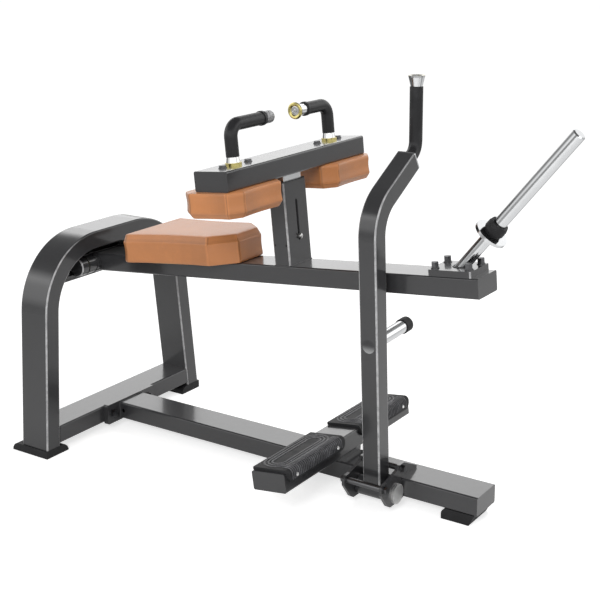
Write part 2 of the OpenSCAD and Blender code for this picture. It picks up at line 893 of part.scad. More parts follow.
module pivot_shaft() {
    chamfer = 1.5;
    color(zinc)
        translate([pivot_x, 0, pivot_h])
            along_y()
                rotate_extrude($fn = 96)
                    polygon([
                        [0, -shaft_half],
                        [pivot_shaft_d / 2 - chamfer, -shaft_half],
                        [pivot_shaft_d / 2, -shaft_half + chamfer],
                        [pivot_shaft_d / 2, shaft_half - chamfer],
                        [pivot_shaft_d / 2 - chamfer, shaft_half],
                        [0, shaft_half]
                    ]);
}

// Lever

module lever_beam() {
    color(paint)
        on_lever()
            difference() {
                translate([beam_start, 0, 0])
                    along_x() linear_extrude(beam_len - beam_start - end_plate_t)
                        tube_section(tube_w, tube_t);
                translate([0, tube_w, 0]) along_y() rod(hub_d, 2 * tube_w);
                for (x = seat_bolt_places)
                    translate([x, 0, -tube_t]) rod(seat_bolt_d + 2 * bolt_gap, 2 * tube_t);
                horn_bolt_places() translate([0, 0, -tube_t / 2]) rod(horn_bolt_d + 2 * bolt_gap, tube_t);
            }
}

seat_bolt_places = [seat_bolt_mid - seat_bolt_gap / 2, seat_bolt_mid + seat_bolt_gap / 2];

module lever_end_plate() {
    color(paint)
        on_lever()
            translate([beam_len - end_plate_t, 0, 0])
                along_x() linear_extrude(end_plate_t) round_rect(tube_w, tube_t, tube_r);
}

// Hub tube with two stiffening rings on each side of the beam
module lever_hub() {
    ring_t = 6;
    ring_step = 9;
    color(paint)
        on_lever()
            difference() {
                union() {
                    translate([0, hub_half, 0]) along_y() rod(hub_d, hub_len);
                    both_sides()
                        for (k = [0, 1])
                            translate([0, tube_w / 2 + ring_t + 1 + k * ring_step, 0]) along_y()
                                rod(hub_ring_d, ring_t);
                }
                translate([0, hub_half + eps, 0]) along_y() rod(hub_bore_d, hub_len + 2 * eps);
            }
}

module hub_bushes() {
    bush_flange_d = hub_bore_d + 8;
    color(brass)
        on_lever()
            both_sides()
                difference() {
                    union() {
                        translate([0, hub_half, 0]) along_y() rod(hub_bore_d, bush_len);
                        translate([0, hub_half + bush_flange_t, 0]) along_y()
                            rod(bush_flange_d, bush_flange_t);
                    }
                    translate([0, hub_half + bush_flange_t + eps, 0])
                        along_y()
                            rod(pivot_shaft_d + 2 * running_gap, bush_len + bush_flange_t + 2 * eps);
                }
}

// Outline of the seat, anticlockwise from its rear corner on the near side
seat_points = [
    [0, -seat_w / 2],
    [seat_len - seat_nose_len, -seat_front_w / 2],
    [seat_len, -seat_nose_w / 2],
    [seat_len, seat_nose_w / 2],
    [seat_len - seat_nose_len, seat_front_w / 2],
    [0, seat_w / 2]
];
seat_radii = [18, 8, 10, 10, 8, 18];

module seat_pad() {
    color(leather)
        on_lever()
            translate([seat_from, 0, seat_bottom])
                difference() {
                    cushion(seat_points, seat_radii, seat_t, seat_edge_drop);
                    board_recess(seat_points, seat_radii);
                }
}

module seat_board() {
    color(plywood)
        on_lever()
            translate([seat_from, 0, beam_top])
                difference() {
                    board(seat_points, seat_radii);
                    for (x = seat_bolt_places)
                        translate([x - seat_from, 0, -eps])
                            rod(seat_bolt_d + 2 * bolt_gap, board_t - 2 + eps);
                }
}

module seat_bolts() {
    color(zinc)
        on_lever()
            for (x = seat_bolt_places)
                translate([x, 0, -tube_t / 2])
                    rotate([180, 0, 0]) hex_bolt(seat_bolt_d, tube_t + board_t - 4, nut = false);
}

// Mast

module slot_cutter(depth) {
    for (n = [slot_bottom + slot_w / 2, slot_top - slot_w / 2])
        translate([0, 0, n]) along_x() rod(slot_w, depth);
    translate([0, -slot_w / 2, slot_bottom + slot_w / 2]) cube([depth, slot_w, slot_len - slot_w]);
}

module mast_sleeve() {
    color(paint)
        on_mast()
            difference() {
                translate([0, 0, beam_top]) linear_extrude(sleeve_h) tube_section(tube_t, tube_w);
                translate([tube_t / 2 - tube_wall - eps, 0, 0]) slot_cutter(tube_wall + 2 * eps);
                translate([-tube_t / 2 - eps, 0, pin_n])
                    along_x() rod(pin_d + 2 * bolt_gap, tube_wall + 2 * eps);
            }
}

module guide_liner() {
    inner_t = tube_t - 2 * tube_wall;
    inner_w = tube_w - 2 * tube_wall;
    rim_t = 3;
    color(plastic)
        on_mast()
            difference() {
                union() {
                    translate([0, 0, liner_bottom])
                        linear_extrude(sleeve_top - liner_bottom)
                            round_rect(inner_t, inner_w, max(tube_r - tube_wall, 1));
                    translate([0, 0, sleeve_top]) linear_extrude(rim_t)
                        round_rect(tube_t - 2, tube_w - 2, tube_r - 1);
                }
                translate([0, 0, liner_bottom - eps])
                    linear_extrude(sleeve_h + rim_t + 2 * eps)
                        round_rect(post_t + 2 * liner_gap, post_w + 2 * liner_gap, tube_r - 1);
                translate([post_t / 2 - eps, 0, 0]) slot_cutter(tube_t);
                translate([-tube_t / 2 - eps, 0, pin_n]) along_x() rod(pin_d + 2 * bolt_gap, tube_t / 2);
            }
}

// Round barrel welded to the user's side of the sleeve, which guides the pull pin
module pin_barrel() {
    color(zinc)
        on_mast()
            translate([-tube_t / 2 - barrel_len, 0, pin_n])
                along_x()
                    difference() {
                        rod(barrel_d, barrel_len);
                        translate([0, 0, -eps]) rod(pin_d + 2 * running_gap, barrel_len + 2 * eps);
                    }
}

// Sprung pull pin with its knob. Its tip rides on the post between two holes, so the knob stands
// off the barrel by the pin's reach into a hole.
module adjust_pin() {
    neck_len = 8;
    tip_x = -post_t / 2 - 2 * liner_gap;
    knob_x = -tube_t / 2 - barrel_len - pin_reach - 1;
    color(plastic)
        on_mast()
            translate([0, 0, pin_n])
                along_x() {
                    translate([0, 0, knob_x - neck_len]) rod(pin_d, tip_x - knob_x + neck_len);
                    translate([0, 0, knob_x - neck_len - knob_d / 2])
                        rotate_extrude($fn = 64)
                            intersection() {
                                union() {
                                    translate([knob_d / 2 - 8, 0]) circle(8, $fn = 48);
                                    square([knob_d / 2 - 8, 16], center = true);
                                    square([11, knob_d], center = true);
                                }
                                translate([0, -knob_d / 2]) square([knob_d, knob_d]);
                            }
                }
}

// Weight horn

module horn_bolt_places() {
    for (dx = [-1, 1], dy = [-1, 1])
        translate([horn_plate_mid + dx * horn_bolt_gap_x / 2, dy * horn_bolt_gap_y / 2, beam_top])
            children();
}

module horn_plate(level) {
    color(paint)
        on_lever()
            difference() {
                translate([horn_plate_mid, 0, beam_top + level * horn_plate_t])
                    linear_extrude(horn_plate_t) round_rect(horn_plate_len, horn_plate_w, tube_r);
                horn_bolt_places() translate([0, 0, -eps])
                    rod(horn_bolt_d + 2 * bolt_gap, 2 * horn_plate_t + 2 * eps);
            }
}

module horn_base_plate() {
    horn_plate(0);
}

module horn_top_plate() {
    horn_plate(1);
}

module horn_bolts() {
    color(zinc)
        on_lever()
            horn_bolt_places()
                translate([0, 0, 2 * horn_plate_t])
                    hex_bolt(horn_bolt_d, 2 * horn_plate_t + tube_wall, head_h = horn_bolt_head);
}

module weight_horn() {
    chamfer = 3;
    root = horn_d;
    color(chrome)
        difference() {
            on_horn()
                translate([0, 0, -root])
                    rotate_extrude($fn = 96)
                        polygon([
                            [0, 0],
                            [horn_root_d / 2, 0],
                            [horn_root_d / 2, root + horn_step_at],
                            [horn_d / 2, root + horn_step_at],
                            [horn_d / 2, root + horn_len - chamfer],
                            [horn_d / 2 - chamfer, root + horn_len],
                            [0, root + horn_len]
                        ]);
            on_lever()
                translate([horn_at - 2 * horn_d, -horn_d, horn_top_n - 3 * horn_d])
                    cube([4 * horn_d, 2 * horn_d, 3 * horn_d]);
        }
}

module horn_stop_disc() {
    color(chrome)
        on_horn()
            translate([0, 0, stop_at])
                difference() {
                    rod(stop_disc_d, stop_disc_t);
                    translate([0, 0, -eps]) rod(horn_root_d + weld_gap, stop_disc_t + 2 * eps);
                }
}

// Rubber buffer: a barrel that the plates rest on
module horn_buffer() {
    bulge = 3;
    color(rubber)
        on_horn()
            translate([0, 0, stop_at + stop_disc_t])
                difference() {
                    rotate_extrude($fn = 64)
                        polygon([
                            [0, 0],
                            [buffer_d / 2 - bulge, 0],
                            [buffer_d / 2, 0.25 * buffer_len],
                            [buffer_d / 2, 0.7 * buffer_len],
                            [buffer_d / 2 - bulge, buffer_len],
                            [0, buffer_len]
                        ]);
                    translate([0, 0, -eps]) rod(horn_root_d + weld_gap, buffer_len + 2 * eps);
                }
}

// Carriage

module inner_post() {
    color(chrome)
        on_mast()
            difference() {
                translate([0, 0, post_bottom])
                    linear_extrude(bar_bottom - post_bottom)
                        difference() {
                            round_rect(post_t, post_w, tube_r - 1);
                            round_rect(
                                post_t - 2 * tube_wall, post_w - 2 * tube_wall, max(tube_r - 1 - tube_wall, 1)
                            );
                        }
                for (k = [1 : floor(carriage_travel / pin_pitch)])
                    translate([-post_t / 2 - eps, 0, pin_n - (k - 0.5) * pin_pitch])
                        along_x() rod(pin_d + 2 * bolt_gap, tube_wall + 2 * eps);
                translate([post_t / 2 - tube_wall - eps, 0, guide_bolt_n])
                    along_x() rod(guide_bolt_d + 2 * liner_gap, tube_wall + 2 * eps);
            }
}

module cross_bar() {
    color(paint)
        on_mast()
            difference() {
                translate([0, 0, bar_mid]) along_y() linear_extrude(bar_len, center = true)
                    tube_section(tube_w, tube_t);
                thigh_bolt_places() translate([0, 0, -tube_t - eps])
                    rod(thigh_bolt_d + 2 * bolt_gap, tube_t + 2 * eps);
                both_sides()
                    translate([0, handle_y, bar_mid]) rod(handle_d + weld_gap, tube_t);
            }
}

module cross_bar_end_plates() {
    color(paint)
        on_mast()
            both_sides()
                translate([0, bar_len / 2 + end_plate_t, bar_mid])
                    along_y() linear_extrude(end_plate_t) round_rect(tube_w, tube_t, tube_r);
}

thigh_bolt_d = 10;
thigh_back = 6;        // how far the pads' middle sits behind the cross bar's
thigh_bolt_in = 8;     // how far the bolts' middle sits inwards of the handle
thigh_end_lean = 11;   // how far the outer end runs in from back to front
thigh_inner_cut = [37, 33]; // cut front inner corner, from back to front and across
thigh_outer_cut = [26, 39]; // cut front outer corner, the same
thigh_rear_cut = [31, 30];  // cut rear outer corner, the same
thigh_rear = -thigh_pad_w / 2 - thigh_back;
thigh_in = -thigh_pad_len / 2;
thigh_out = thigh_pad_len / 2;
thigh_front = thigh_rear + thigh_pad_w;
// Outline of the far thigh pad about its own middle, anticlockwise from its rear inner corner
thigh_points = [
    [thigh_rear, thigh_in],
    [thigh_front - thigh_inner_cut[0], thigh_in],
    [thigh_front, thigh_in + thigh_inner_cut[1]],
    [thigh_front, thigh_out - thigh_end_lean - thigh_outer_cut[1]],
    [thigh_front - thigh_outer_cut[0], thigh_out - thigh_end_lean],
    [thigh_rear + thigh_rear_cut[0], thigh_out],
    [thigh_rear, thigh_out - thigh_rear_cut[1]]
];
thigh_radii = [18, 12, 10, 10, 12, 12, 14];

// The pads hang under the bar with their crowns down, so their outlines are turned over
module hang_pad() {
    translate([0, thigh_pad_y, bar_bottom - seat_gap_n]) mirror([0, 0, 1]) children();
}

module thigh_pad() {
    hang_pad()
        difference() {
            cushion(thigh_points, thigh_radii, thigh_pad_t, thigh_edge_drop);
            board_recess(thigh_points, thigh_radii);
        }
}

module thigh_pad_near() {
    color(leather) on_mast() mirror([0, 1, 0]) thigh_pad();
}

module thigh_pad_far() {
    color(leather) on_mast() thigh_pad();
}

function thigh_bolt_y(side) = handle_y + side * thigh_bolt_gap / 2 - thigh_bolt_in;

module thigh_boards() {
    color(plywood)
        on_mast()
            both_sides()
                difference() {
                    translate([0, thigh_pad_y, bar_bottom]) mirror([0, 0, 1])
                        board(thigh_points, thigh_radii);
                    for (side = [-1, 1])
                        translate([0, thigh_bolt_y(side), bar_bottom - board_t + 2])
                            rod(thigh_bolt_d + 2 * bolt_gap, board_t);
                }
}

module thigh_bolt_places() {
    both_sides()
        for (side = [-1, 1])
            translate([0, thigh_bolt_y(side), bar_top]) children();
}

module thigh_bolts() {
    color(zinc)
        on_mast()
            thigh_bolt_places() hex_bolt(thigh_bolt_d, tube_t + board_t - 4, nut = false, head_h = 5);
}

// Centreline of a handle: up, round the bend and in towards the middle; the frame is that of the
// handle's foot on the bar, with y pointing outwards
module bent_bar(d, from, to_end) {
    rise = handle_h - handle_bend;
    translate([0, 0, from]) rod(d, rise - from);
    translate([0, -handle_bend, rise])
        rotate([90, 0, 90]) rotate_extrude(angle = 90, $fn = 96) translate([handle_bend, 0])
            circle(d = d, $fn = 64);
    translate([0, -handle_bend, handle_h]) along_y() rod(d, to_end - handle_bend);
}

module at_handle() {
    on_mast() translate([0, handle_y, bar_top]) children();
}

module handle_bar(reach) {
    foot = tube_t - 2 * tube_wall;
    at_handle() bent_bar(handle_d, -foot, reach - cap_len + cap_plug);
}

module handle_near() {
    color(chrome) mirror([0, 1, 0]) handle_bar(reach_near);
}

module handle_far() {
    color(chrome) handle_bar(reach_far);
}

// Chromed neck with a brass-coloured foot round each handle
module handle_collars() {
    foot_d = grip_d + 8;
    foot_h = 7;
    color(brass)
        both_sides()
            at_handle()
                difference() {
                    union() {
                        rod(foot_d, foot_h);
                        cylinder(d1 = foot_d - 4, d2 = grip_d - 3, h = neck_h, $fn = 64);
                    }
                    translate([0, 0, -eps]) rod(handle_d + weld_gap, neck_h + 2 * eps);
                }
}

module grip(reach) {
    grip_end = reach - cap_len;
    at_handle()
        difference() {
            union() {
                bent_bar(grip_d, neck_h, grip_end);
                translate([0, grip_flange_w - grip_end, handle_h]) along_y()
                    rod(grip_flange_d, grip_flange_w);
            }
            bent_bar(handle_d + grip_fit, neck_h - eps, reach);
        }
}

module handle_grips() {
    color(rubber) {
        mirror([0, 1, 0]) grip(reach_near);
        grip(reach_far);
    }
}

// Flared chrome cap with a raised rim, along +Z from its narrow end
module flared_cap(len) {
    recess_d = cap_wide_d - 14;
    difference() {
        union() {
            cylinder(d1 = grip_d - 4, d2 = cap_wide_d, h = len - cap_rim, $fn = 64);
            translate([0, 0, len - cap_rim]) rod(cap_wide_d + 1, cap_rim);
        }
        translate([0, 0, len - cap_rim - 2]) rod(recess_d, cap_rim + 2 + eps);
        translate([0, 0, -eps]) rod(handle_d + grip_fit, cap_plug + seat_gap + eps);
    }
}

// Straight cap with two shallow grooves, for a knurled band between them
module straight_cap(len) {
    d = grip_d - 2;
    groove = 0.8;
    difference() {
        rod(d, len);
        for (z = [6, len - 8])
            translate([0, 0, z])
                difference() {
                    rod(d + 2, 2);
                    translate([0, 0, -eps]) rod(d - 2 * groove, 2 + 2 * eps);
                }
        translate([0, 0, -eps]) rod(handle_d + grip_fit, cap_plug + seat_gap + eps);
    }
}

// Frame of a handle's cap: z inwards along the cross piece from the end of the grip
module at_cap(reach) {
    at_handle() translate([0, cap_len - reach, handle_h]) rotate([90, 0, 0]) children();
}

module handle_end_caps() {
    color(chrome) {
        mirror([0, 1, 0]) at_cap(reach_near) straight_cap(cap_len);
        at_cap(reach_far) flared_cap(cap_len);
    }
}

module guide_bolt() {
    head_d = 14;
    head_h = 9;
    nut_h = 5;
    color(zinc)
        on_mast()
            translate([post_t / 2 - tube_wall - nut_h, 0, guide_bolt_n])
                along_x() {
                    rod(guide_bolt_d + 5, nut_h);
                    rod(guide_bolt_d, nut_h + tube_wall + (tube_t - post_t) / 2 + 1);
                    translate([0, 0, nut_h + tube_wall + (tube_t - post_t) / 2 + 1])
                        rotate_extrude($fn = 48)
                            intersection() {
                                translate([0, head_h - head_d / 2 - 2]) circle(d = head_d + 4, $fn = 48);
                                square([head_d / 2, head_h]);
                            }
                }
}

// Catch

// Laser-cut cheek of the bracket, seen along +X, with x across and y up. It stands on the base,
// hooks down over its near side and reaches round the axis and both stops.
bracket_land = 28;  // how far the cheeks reach over the base, past its middle
bracket_under = 12; // how far they hook in under it
bracket_round = 27; // metal under the axis
bracket_reach = 44; // metal beside the axis
bracket_points = [
    [bracket_land, base_top],
    [bracket_land, base_top + 7],
    [stop_in_y + 8, stop_in_z + 14],
    [stop_in_y - 18, stop_in_z + 14],
    [stop_in_y - 26, stop_in_z + 4],
    [stop_out_y + 12, stop_out_z + 15],
    [stop_out_y - 14, stop_out_z + 13],
    [stop_out_y - 16, stop_out_z - 10],
    [-catch_axis_y - bracket_reach, catch_axis_h - 18],
    [-catch_axis_y - 30, catch_axis_h - bracket_round],
    [-tube_w / 2, catch_axis_h - bracket_round],
    [bracket_under - tube_w / 2, base_bottom - 3],
    [bracket_under - tube_w / 2, base_bottom],
    [-tube_w / 2, base_bottom],
    [-tube_w / 2, base_top]
];
bracket_radii = [1, 3, 10, 8, 6, 8, 10, 12, 12, 10, 6, 1, 0.5, 0.5, 0.5];

module catch_brackets() {
    color(paint)
        for (x = [catch_x - bracket_out, catch_x + bracket_in])
            translate([x, 0, 0])
                along_x()
                    difference() {
                        linear_extrude(bracket_t) polygon(rounded_outline(bracket_points, bracket_radii));
                        translate([-catch_axis_y, catch_axis_h, -eps])
                            rod(catch_shaft_d + 2 * running_gap, bracket_t + 2 * eps);
                        for (p = stop_places)
                            translate([p[0], p[1], -eps])
                                rod(tie_bolt_d + 2 * bolt_gap, bracket_t + 2 * eps);
                    }
}

stop_places = [[stop_in_y, stop_in_z], [stop_out_y, stop_out_z]];

// Fixed shaft with a round head against the front cheek
module catch_shaft() {
    head_d = 52;
    head_t = 6;
    tail = 4;
    color(zinc)
        translate([catch_x - bracket_out - tail, -catch_axis_y, catch_axis_h])
            along_x() {
                rod(catch_shaft_d, 2 * bracket_out + tail);
                translate([0, 0, 2 * bracket_out + tail]) rod(head_d, head_t);
            }
}

// Spacer tubes between the cheeks: the post rests on the inner one, and on the outer one when
// it is swung aside
module stop_spacers() {
    color(zinc)
        for (p = stop_places)
            translate([catch_x - bracket_in, p[0], p[1]])
                along_x()
                    difference() {
                        rod(spacer_d, bracket_gap);
                        translate([0, 0, -eps]) rod(tie_bolt_d + 2 * bolt_gap, bracket_gap + 2 * eps);
                    }
}

module bracket_bolts() {
    color(zinc)
        for (p = stop_places)
            translate([catch_x + bracket_out, p[0], p[1]])
                rotate([0, 90, 0]) hex_bolt(tie_bolt_d, 2 * bracket_out);
}

module catch_hub() {
    color(paint)
        translate([catch_x - bracket_in + side_gap, -catch_axis_y, catch_axis_h])
            along_x()
                difference() {
                    rod(catch_hub_d, bracket_gap - 2 * side_gap);
                    translate([0, 0, -eps]) rod(catch_shaft_d + 2 * running_gap, bracket_gap);
                }
}

// Run of the post in the catch's frame, drawn in by d all round and past its ends by more
module post_run(d, more) {
    translate([0, 0, post_foot - more])
        linear_extrude(catch_straight - post_foot + more + lap) run_section(catch_tube, catch_tube, d);
    translate([0, catch_bend, catch_straight])
        rotate([90, 0, 90])
            rotate([0, 0, 180 - catch_turn])
                rotate_extrude(angle = catch_turn, $fn = 96)
                    translate([catch_bend, 0]) run_section(catch_tube, catch_tube, d + bend_draw);
    at_arm()
        translate([0, 0, -lap])
            linear_extrude(catch_arm_len + lap + more) run_section(catch_tube, catch_tube, d);
}

// Frame of the upper arm: z along the arm from the end of the bend
module at_arm() {
    translate([0, catch_bend, catch_straight])
        rotate([-catch_turn, 0, 0])
            translate([0, -catch_bend, 0]) children();
}

module catch_post() {
    color(paint)
        on_catch()
            difference() {
                post_run(0, 0);
                post_run(tube_wall, eps);
                rotate([0, 90, 0]) cylinder(d = catch_hub_d, h = 2 * catch_tube, center = true, $fn = 96);
                translate([0, catch_tube, peg_at]) along_y() rod(peg_d + weld_gap, 2 * catch_tube);
            }
}

// Frame of the catch's grip: z up the grip from the end of the handle's bend
module at_catch_grip() {
    at_arm()
        translate([0, -catch_handle_bend, catch_arm_len + handle_run])
            rotate([90 - catch_arm_rise, 0, 0])
                translate([0, catch_handle_bend, 0]) children();
}

// Bar of the catch's handle: out of the arm, then round to upright
module catch_handle_run(d, from, top) {
    at_arm()
        translate([0, 0, catch_arm_len]) {
            translate([0, 0, from]) rod(d, handle_run - from + lap);
            translate([0, -catch_handle_bend, handle_run])
                rotate([90, 0, 90])
                    rotate_extrude(angle = 90 - catch_arm_rise, $fn = 96)
                        translate([catch_handle_bend, 0]) circle(d = d - 2 * bend_draw, $fn = 64);
        }
    at_catch_grip() translate([0, 0, -lap]) rod(d, top + lap);
}

// Plate welded over the end of the arm, with the bar of the handle standing out of it
module catch_handle() {
    color(chrome)
        on_catch() {
            at_arm()
                translate([0, 0, catch_arm_len])
                    linear_extrude(end_plate_t) round_rect(catch_tube, catch_tube, tube_r);
            catch_handle_run(handle_d, end_plate_t / 2, catch_grip_len + cap_plug);
        }
}

module catch_grip() {
    color(rubber)
        on_catch()
            difference() {
                catch_handle_run(grip_d, end_plate_t + 5, catch_grip_len);
                catch_handle_run(handle_d + grip_fit, 0, catch_grip_len + eps);
            }
}

module catch_grip_cap() {
    color(chrome)
        on_catch()
            at_catch_grip() translate([0, 0, catch_grip_len]) flared_cap(catch_cap_len);
}

// Chromed tube through both walls of the post, closed where it ends flush with the near wall
module catch_peg() {
    wall = 4;
    len = peg_len + catch_tube;
    color(chrome)
        on_catch()
            translate([0, post_half + peg_len, peg_at])
                along_y()
                    difference() {
                        rod(peg_d, len);
                        translate([0, 0, -eps]) rod(peg_d - 2 * wall, len - wall + eps);
                    }
}

module catch_peg_cap() {
    cap_over = 24;
    cap_wall = 2.5;
    color(rubber)
        on_catch()
            translate([0, post_half + peg_len + cap_wall, peg_at])
                along_y()
                    difference() {
                        rod(peg_d + 2 * cap_wall, cap_over + cap_wall);
                        translate([0, 0, cap_wall]) rod(peg_d + grip_fit, cap_over + eps);
                    }
}

rear_arch();
rear_cross_tube();
rear_feet();
rear_flange_plate();
base_flange_plate();
flange_bolts();
base_tube();
base_end_plate();
front_foot();
footrest_tube();
footrest_end_plates();
footrest_wedge();
foot_pad_near();
foot_pad_far();
foot_pad_rivets();
pivot_shelf();
bearing_blocks();
bearing_bolts();
pivot_shaft();
catch_brackets();
catch_shaft();
stop_spacers();
bracket_bolts();
lever_beam();
lever_end_plate();
lever_hub();
hub_bushes();
seat_pad();
seat_board();
seat_bolts();
mast_sleeve();
guide_liner();
horn_base_plate();
horn_top_plate();
horn_bolts();
weight_horn();
horn_stop_disc();
horn_buffer();
pin_barrel();
adjust_pin();
inner_post();
cross_bar();
cross_bar_end_plates();
thigh_pad_near();
thigh_pad_far();
thigh_boards();
thigh_bolts();
handle_near();
handle_far();
handle_collars();
handle_grips();
handle_end_caps();
guide_bolt();
catch_post();
catch_hub();
catch_handle();
catch_grip();
catch_grip_cap();
catch_peg();
catch_peg_cap();
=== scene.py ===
"""Looks of the seated calf raise machine, laid out as an add-on.

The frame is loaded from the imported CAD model. This script upholsters its pads, adds treads, welds, screws
and caps, gives every part its finish, and sets the stage.
"""

import json
import math

import bpy
from mathutils import Matrix, Vector


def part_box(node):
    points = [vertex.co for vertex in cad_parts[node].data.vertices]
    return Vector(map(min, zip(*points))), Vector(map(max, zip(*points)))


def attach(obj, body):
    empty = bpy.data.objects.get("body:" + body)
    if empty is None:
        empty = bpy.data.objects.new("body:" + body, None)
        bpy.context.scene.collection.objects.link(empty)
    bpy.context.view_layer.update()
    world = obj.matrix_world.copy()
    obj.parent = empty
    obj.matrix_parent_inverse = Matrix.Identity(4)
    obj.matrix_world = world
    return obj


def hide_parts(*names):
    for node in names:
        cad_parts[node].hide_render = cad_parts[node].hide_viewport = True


bl_info = {
    "name": "Seated Calf Raise Machine",
    "version": (1, 0, 0),
    "blender": (4, 5, 0),
    "location": "View3D > Sidebar > Calf Raise",
    "description": "Adds upholstery, treads, welds and finishes to the packed calf raise machine",
    "category": "Object",
}

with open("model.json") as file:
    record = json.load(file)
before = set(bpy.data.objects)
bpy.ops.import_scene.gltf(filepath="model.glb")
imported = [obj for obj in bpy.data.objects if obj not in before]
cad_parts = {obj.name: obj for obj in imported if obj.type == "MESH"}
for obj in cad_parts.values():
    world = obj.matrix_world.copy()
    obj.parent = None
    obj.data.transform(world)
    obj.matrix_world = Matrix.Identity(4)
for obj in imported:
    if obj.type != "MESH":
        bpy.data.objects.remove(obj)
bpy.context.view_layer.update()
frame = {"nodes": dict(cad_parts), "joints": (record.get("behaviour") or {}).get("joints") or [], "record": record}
MM = 0.001


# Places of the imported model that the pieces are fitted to

def joint_place(name):
    """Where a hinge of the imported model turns."""
    return Vector(next(j["pos_m"] for j in frame["joints"] if j["name"] == name))


def node_middle(name):
    """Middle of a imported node's box."""
    low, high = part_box(name)
    return (low + high) / 2


# The lever's own axes: X along the beam from the hinge, Z up from the beam's middle
LEVER_LIFT = math.radians(5)
PIVOT = joint_place("lever_pivot")
LEVER = Matrix.Translation(PIVOT) @ Matrix.Rotation(-LEVER_LIFT, 4, "Y")
BEAM_TOP = 25 * MM
SEAT_FROM = 188 * MM
MAST_AT = 673 * MM
SLEEVE_HALF_DEPTH = 50 * MM
BAR_BOTTOM = BEAM_TOP + 237 * MM
BAR_TOP = BAR_BOTTOM + 50 * MM
HORN_AT = 1164 * MM
HORN_ANGLE = math.radians(46)
HORN_FOOT = BEAM_TOP + 16 * MM

# The handles, from the mast's middle and the bar's top
HANDLE_SIDE = 211 * MM
HANDLE_UP = 97 * MM
NEAR_REACH = 174 * MM
FAR_REACH = 150 * MM
CAP_LENGTH = 43 * MM
COLLAR_FOOT = 7.4 * MM

# The foot pads, on the footrest's tilted axes
FOOTREST_TILT = math.radians(7.5)
FOOTREST = Matrix.Translation(node_middle("footrest_tube")) @ Matrix.Rotation(-FOOTREST_TILT, 4, "Y")
FOOT_PAD_LENGTH = 257 * MM
FOOT_PAD_GAP = 80 * MM

TUBE, TUBE_CORNER = (50 * MM, 100 * MM), 5 * MM
POST, POST_CORNER = (40 * MM, 80 * MM), 4 * MM
QUARTER = math.radians(90)


# Modelling helpers

def deselect_all():
    """Leaves edit mode and selects nothing."""
    if bpy.context.mode != "OBJECT":
        bpy.ops.object.mode_set(mode="OBJECT")
    bpy.ops.object.select_all(action="DESELECT")


def only(obj):
    """Makes one object the selected and active one."""
    deselect_all()
    obj.select_set(True)
    bpy.context.view_layer.objects.active = obj
    return obj


def added(name):
    """Names the primitive that was just added."""
    obj = bpy.context.active_object
    obj.name = name
    obj.data.name = name
    return obj


def edit_all(obj, kind):
    """Enters edit mode with every vertex or face of a mesh selected."""
    only(obj)
    bpy.ops.object.mode_set(mode="EDIT")
    bpy.ops.mesh.select_mode(type=kind)
    bpy.ops.mesh.select_all(action="SELECT")


def edit_vertices(obj, test):
    """Enters edit mode with the vertices selected whose place passes a test."""
    only(obj)
    bpy.ops.object.mode_set(mode="EDIT")
    bpy.ops.mesh.select_mode(type="VERT")
    bpy.ops.mesh.select_all(action="DESELECT")
    bpy.ops.object.mode_set(mode="OBJECT")
    for vertex in obj.data.vertices:
        vertex.select = bool(test(vertex.co))
    bpy.ops.object.mode_set(mode="EDIT")


def leave_edit():
    """Goes back to object mode, with the edits kept."""
    bpy.ops.object.mode_set(mode="OBJECT")


def modify(obj, kind, **settings):
    """Adds a modifier, sets it and applies it."""
    only(obj)
    modifier = obj.modifiers.new(kind.title(), kind)
    for key, value in settings.items():
        setattr(modifier, key, value)
    bpy.ops.object.modifier_apply(modifier=modifier.name)


def place(obj, matrix):
    """Moves a piece's mesh to its place in the machine's frame. Its object stays at the origin."""
    only(obj)
    obj.matrix_world = matrix @ obj.matrix_world
    bpy.ops.object.transform_apply(location=True, rotation=True, scale=True)
    return obj


def face_out(obj):
    """Joins doubled vertices and turns every face outwards."""
    edit_all(obj, "FACE")
    bpy.ops.mesh.remove_doubles(threshold=1e-6)
    bpy.ops.mesh.normals_make_consistent(inside=False)
    leave_edit()


def finish_piece(obj, body, material, degrees=35):
    """Shades a piece smooth up to an angle, gives it its finish, and makes it ride on its body."""
    only(obj)
    bpy.ops.object.shade_smooth_by_angle(angle=math.radians(degrees))
    obj.data.materials.clear()
    obj.data.materials.append(material)
    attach(obj, body)
    return obj


def copied(obj, name, matrix):
    """A copy with its own mesh, moved by a matrix."""
    twin = obj.copy()
    twin.data = obj.data.copy()
    twin.name = name
    twin.data.name = name
    bpy.context.scene.collection.objects.link(twin)
    twin.data.transform(matrix)
    if matrix.determinant() < 0:
        twin.data.flip_normals()
    return twin


MIRROR_Y = Matrix.Diagonal((1, -1, 1, 1))


# Shader helpers

class Wire:
    """An output of a shader node, which adds Math nodes when it is used in an expression."""

    def __init__(self, finish, socket):
        self.finish = finish
        self.socket = socket

    def __add__(self, other):
        return self.finish.math("ADD", self, other)

    __radd__ = __add__

    def __mul__(self, other):
        return self.finish.math("MULTIPLY", self, other)

    __rmul__ = __mul__

    def __sub__(self, other):
        return self.finish.math("SUBTRACT", self, other)

    def __rsub__(self, other):
        return self.finish.math("SUBTRACT", other, self)

    def __lt__(self, other):
        return self.finish.math("LESS_THAN", self, other)

    def size(self):
        """The value without its sign."""
        return self.finish.math("ABSOLUTE", self)

    def near(self, centre, width):
        """1 where the value is within a width of a centre."""
        return self.finish.math("COMPARE", self, centre, width)

    def repeat(self, length):
        """The value wrapped into 0 to length."""
        return self.finish.math("WRAP", self, length, 0.0)


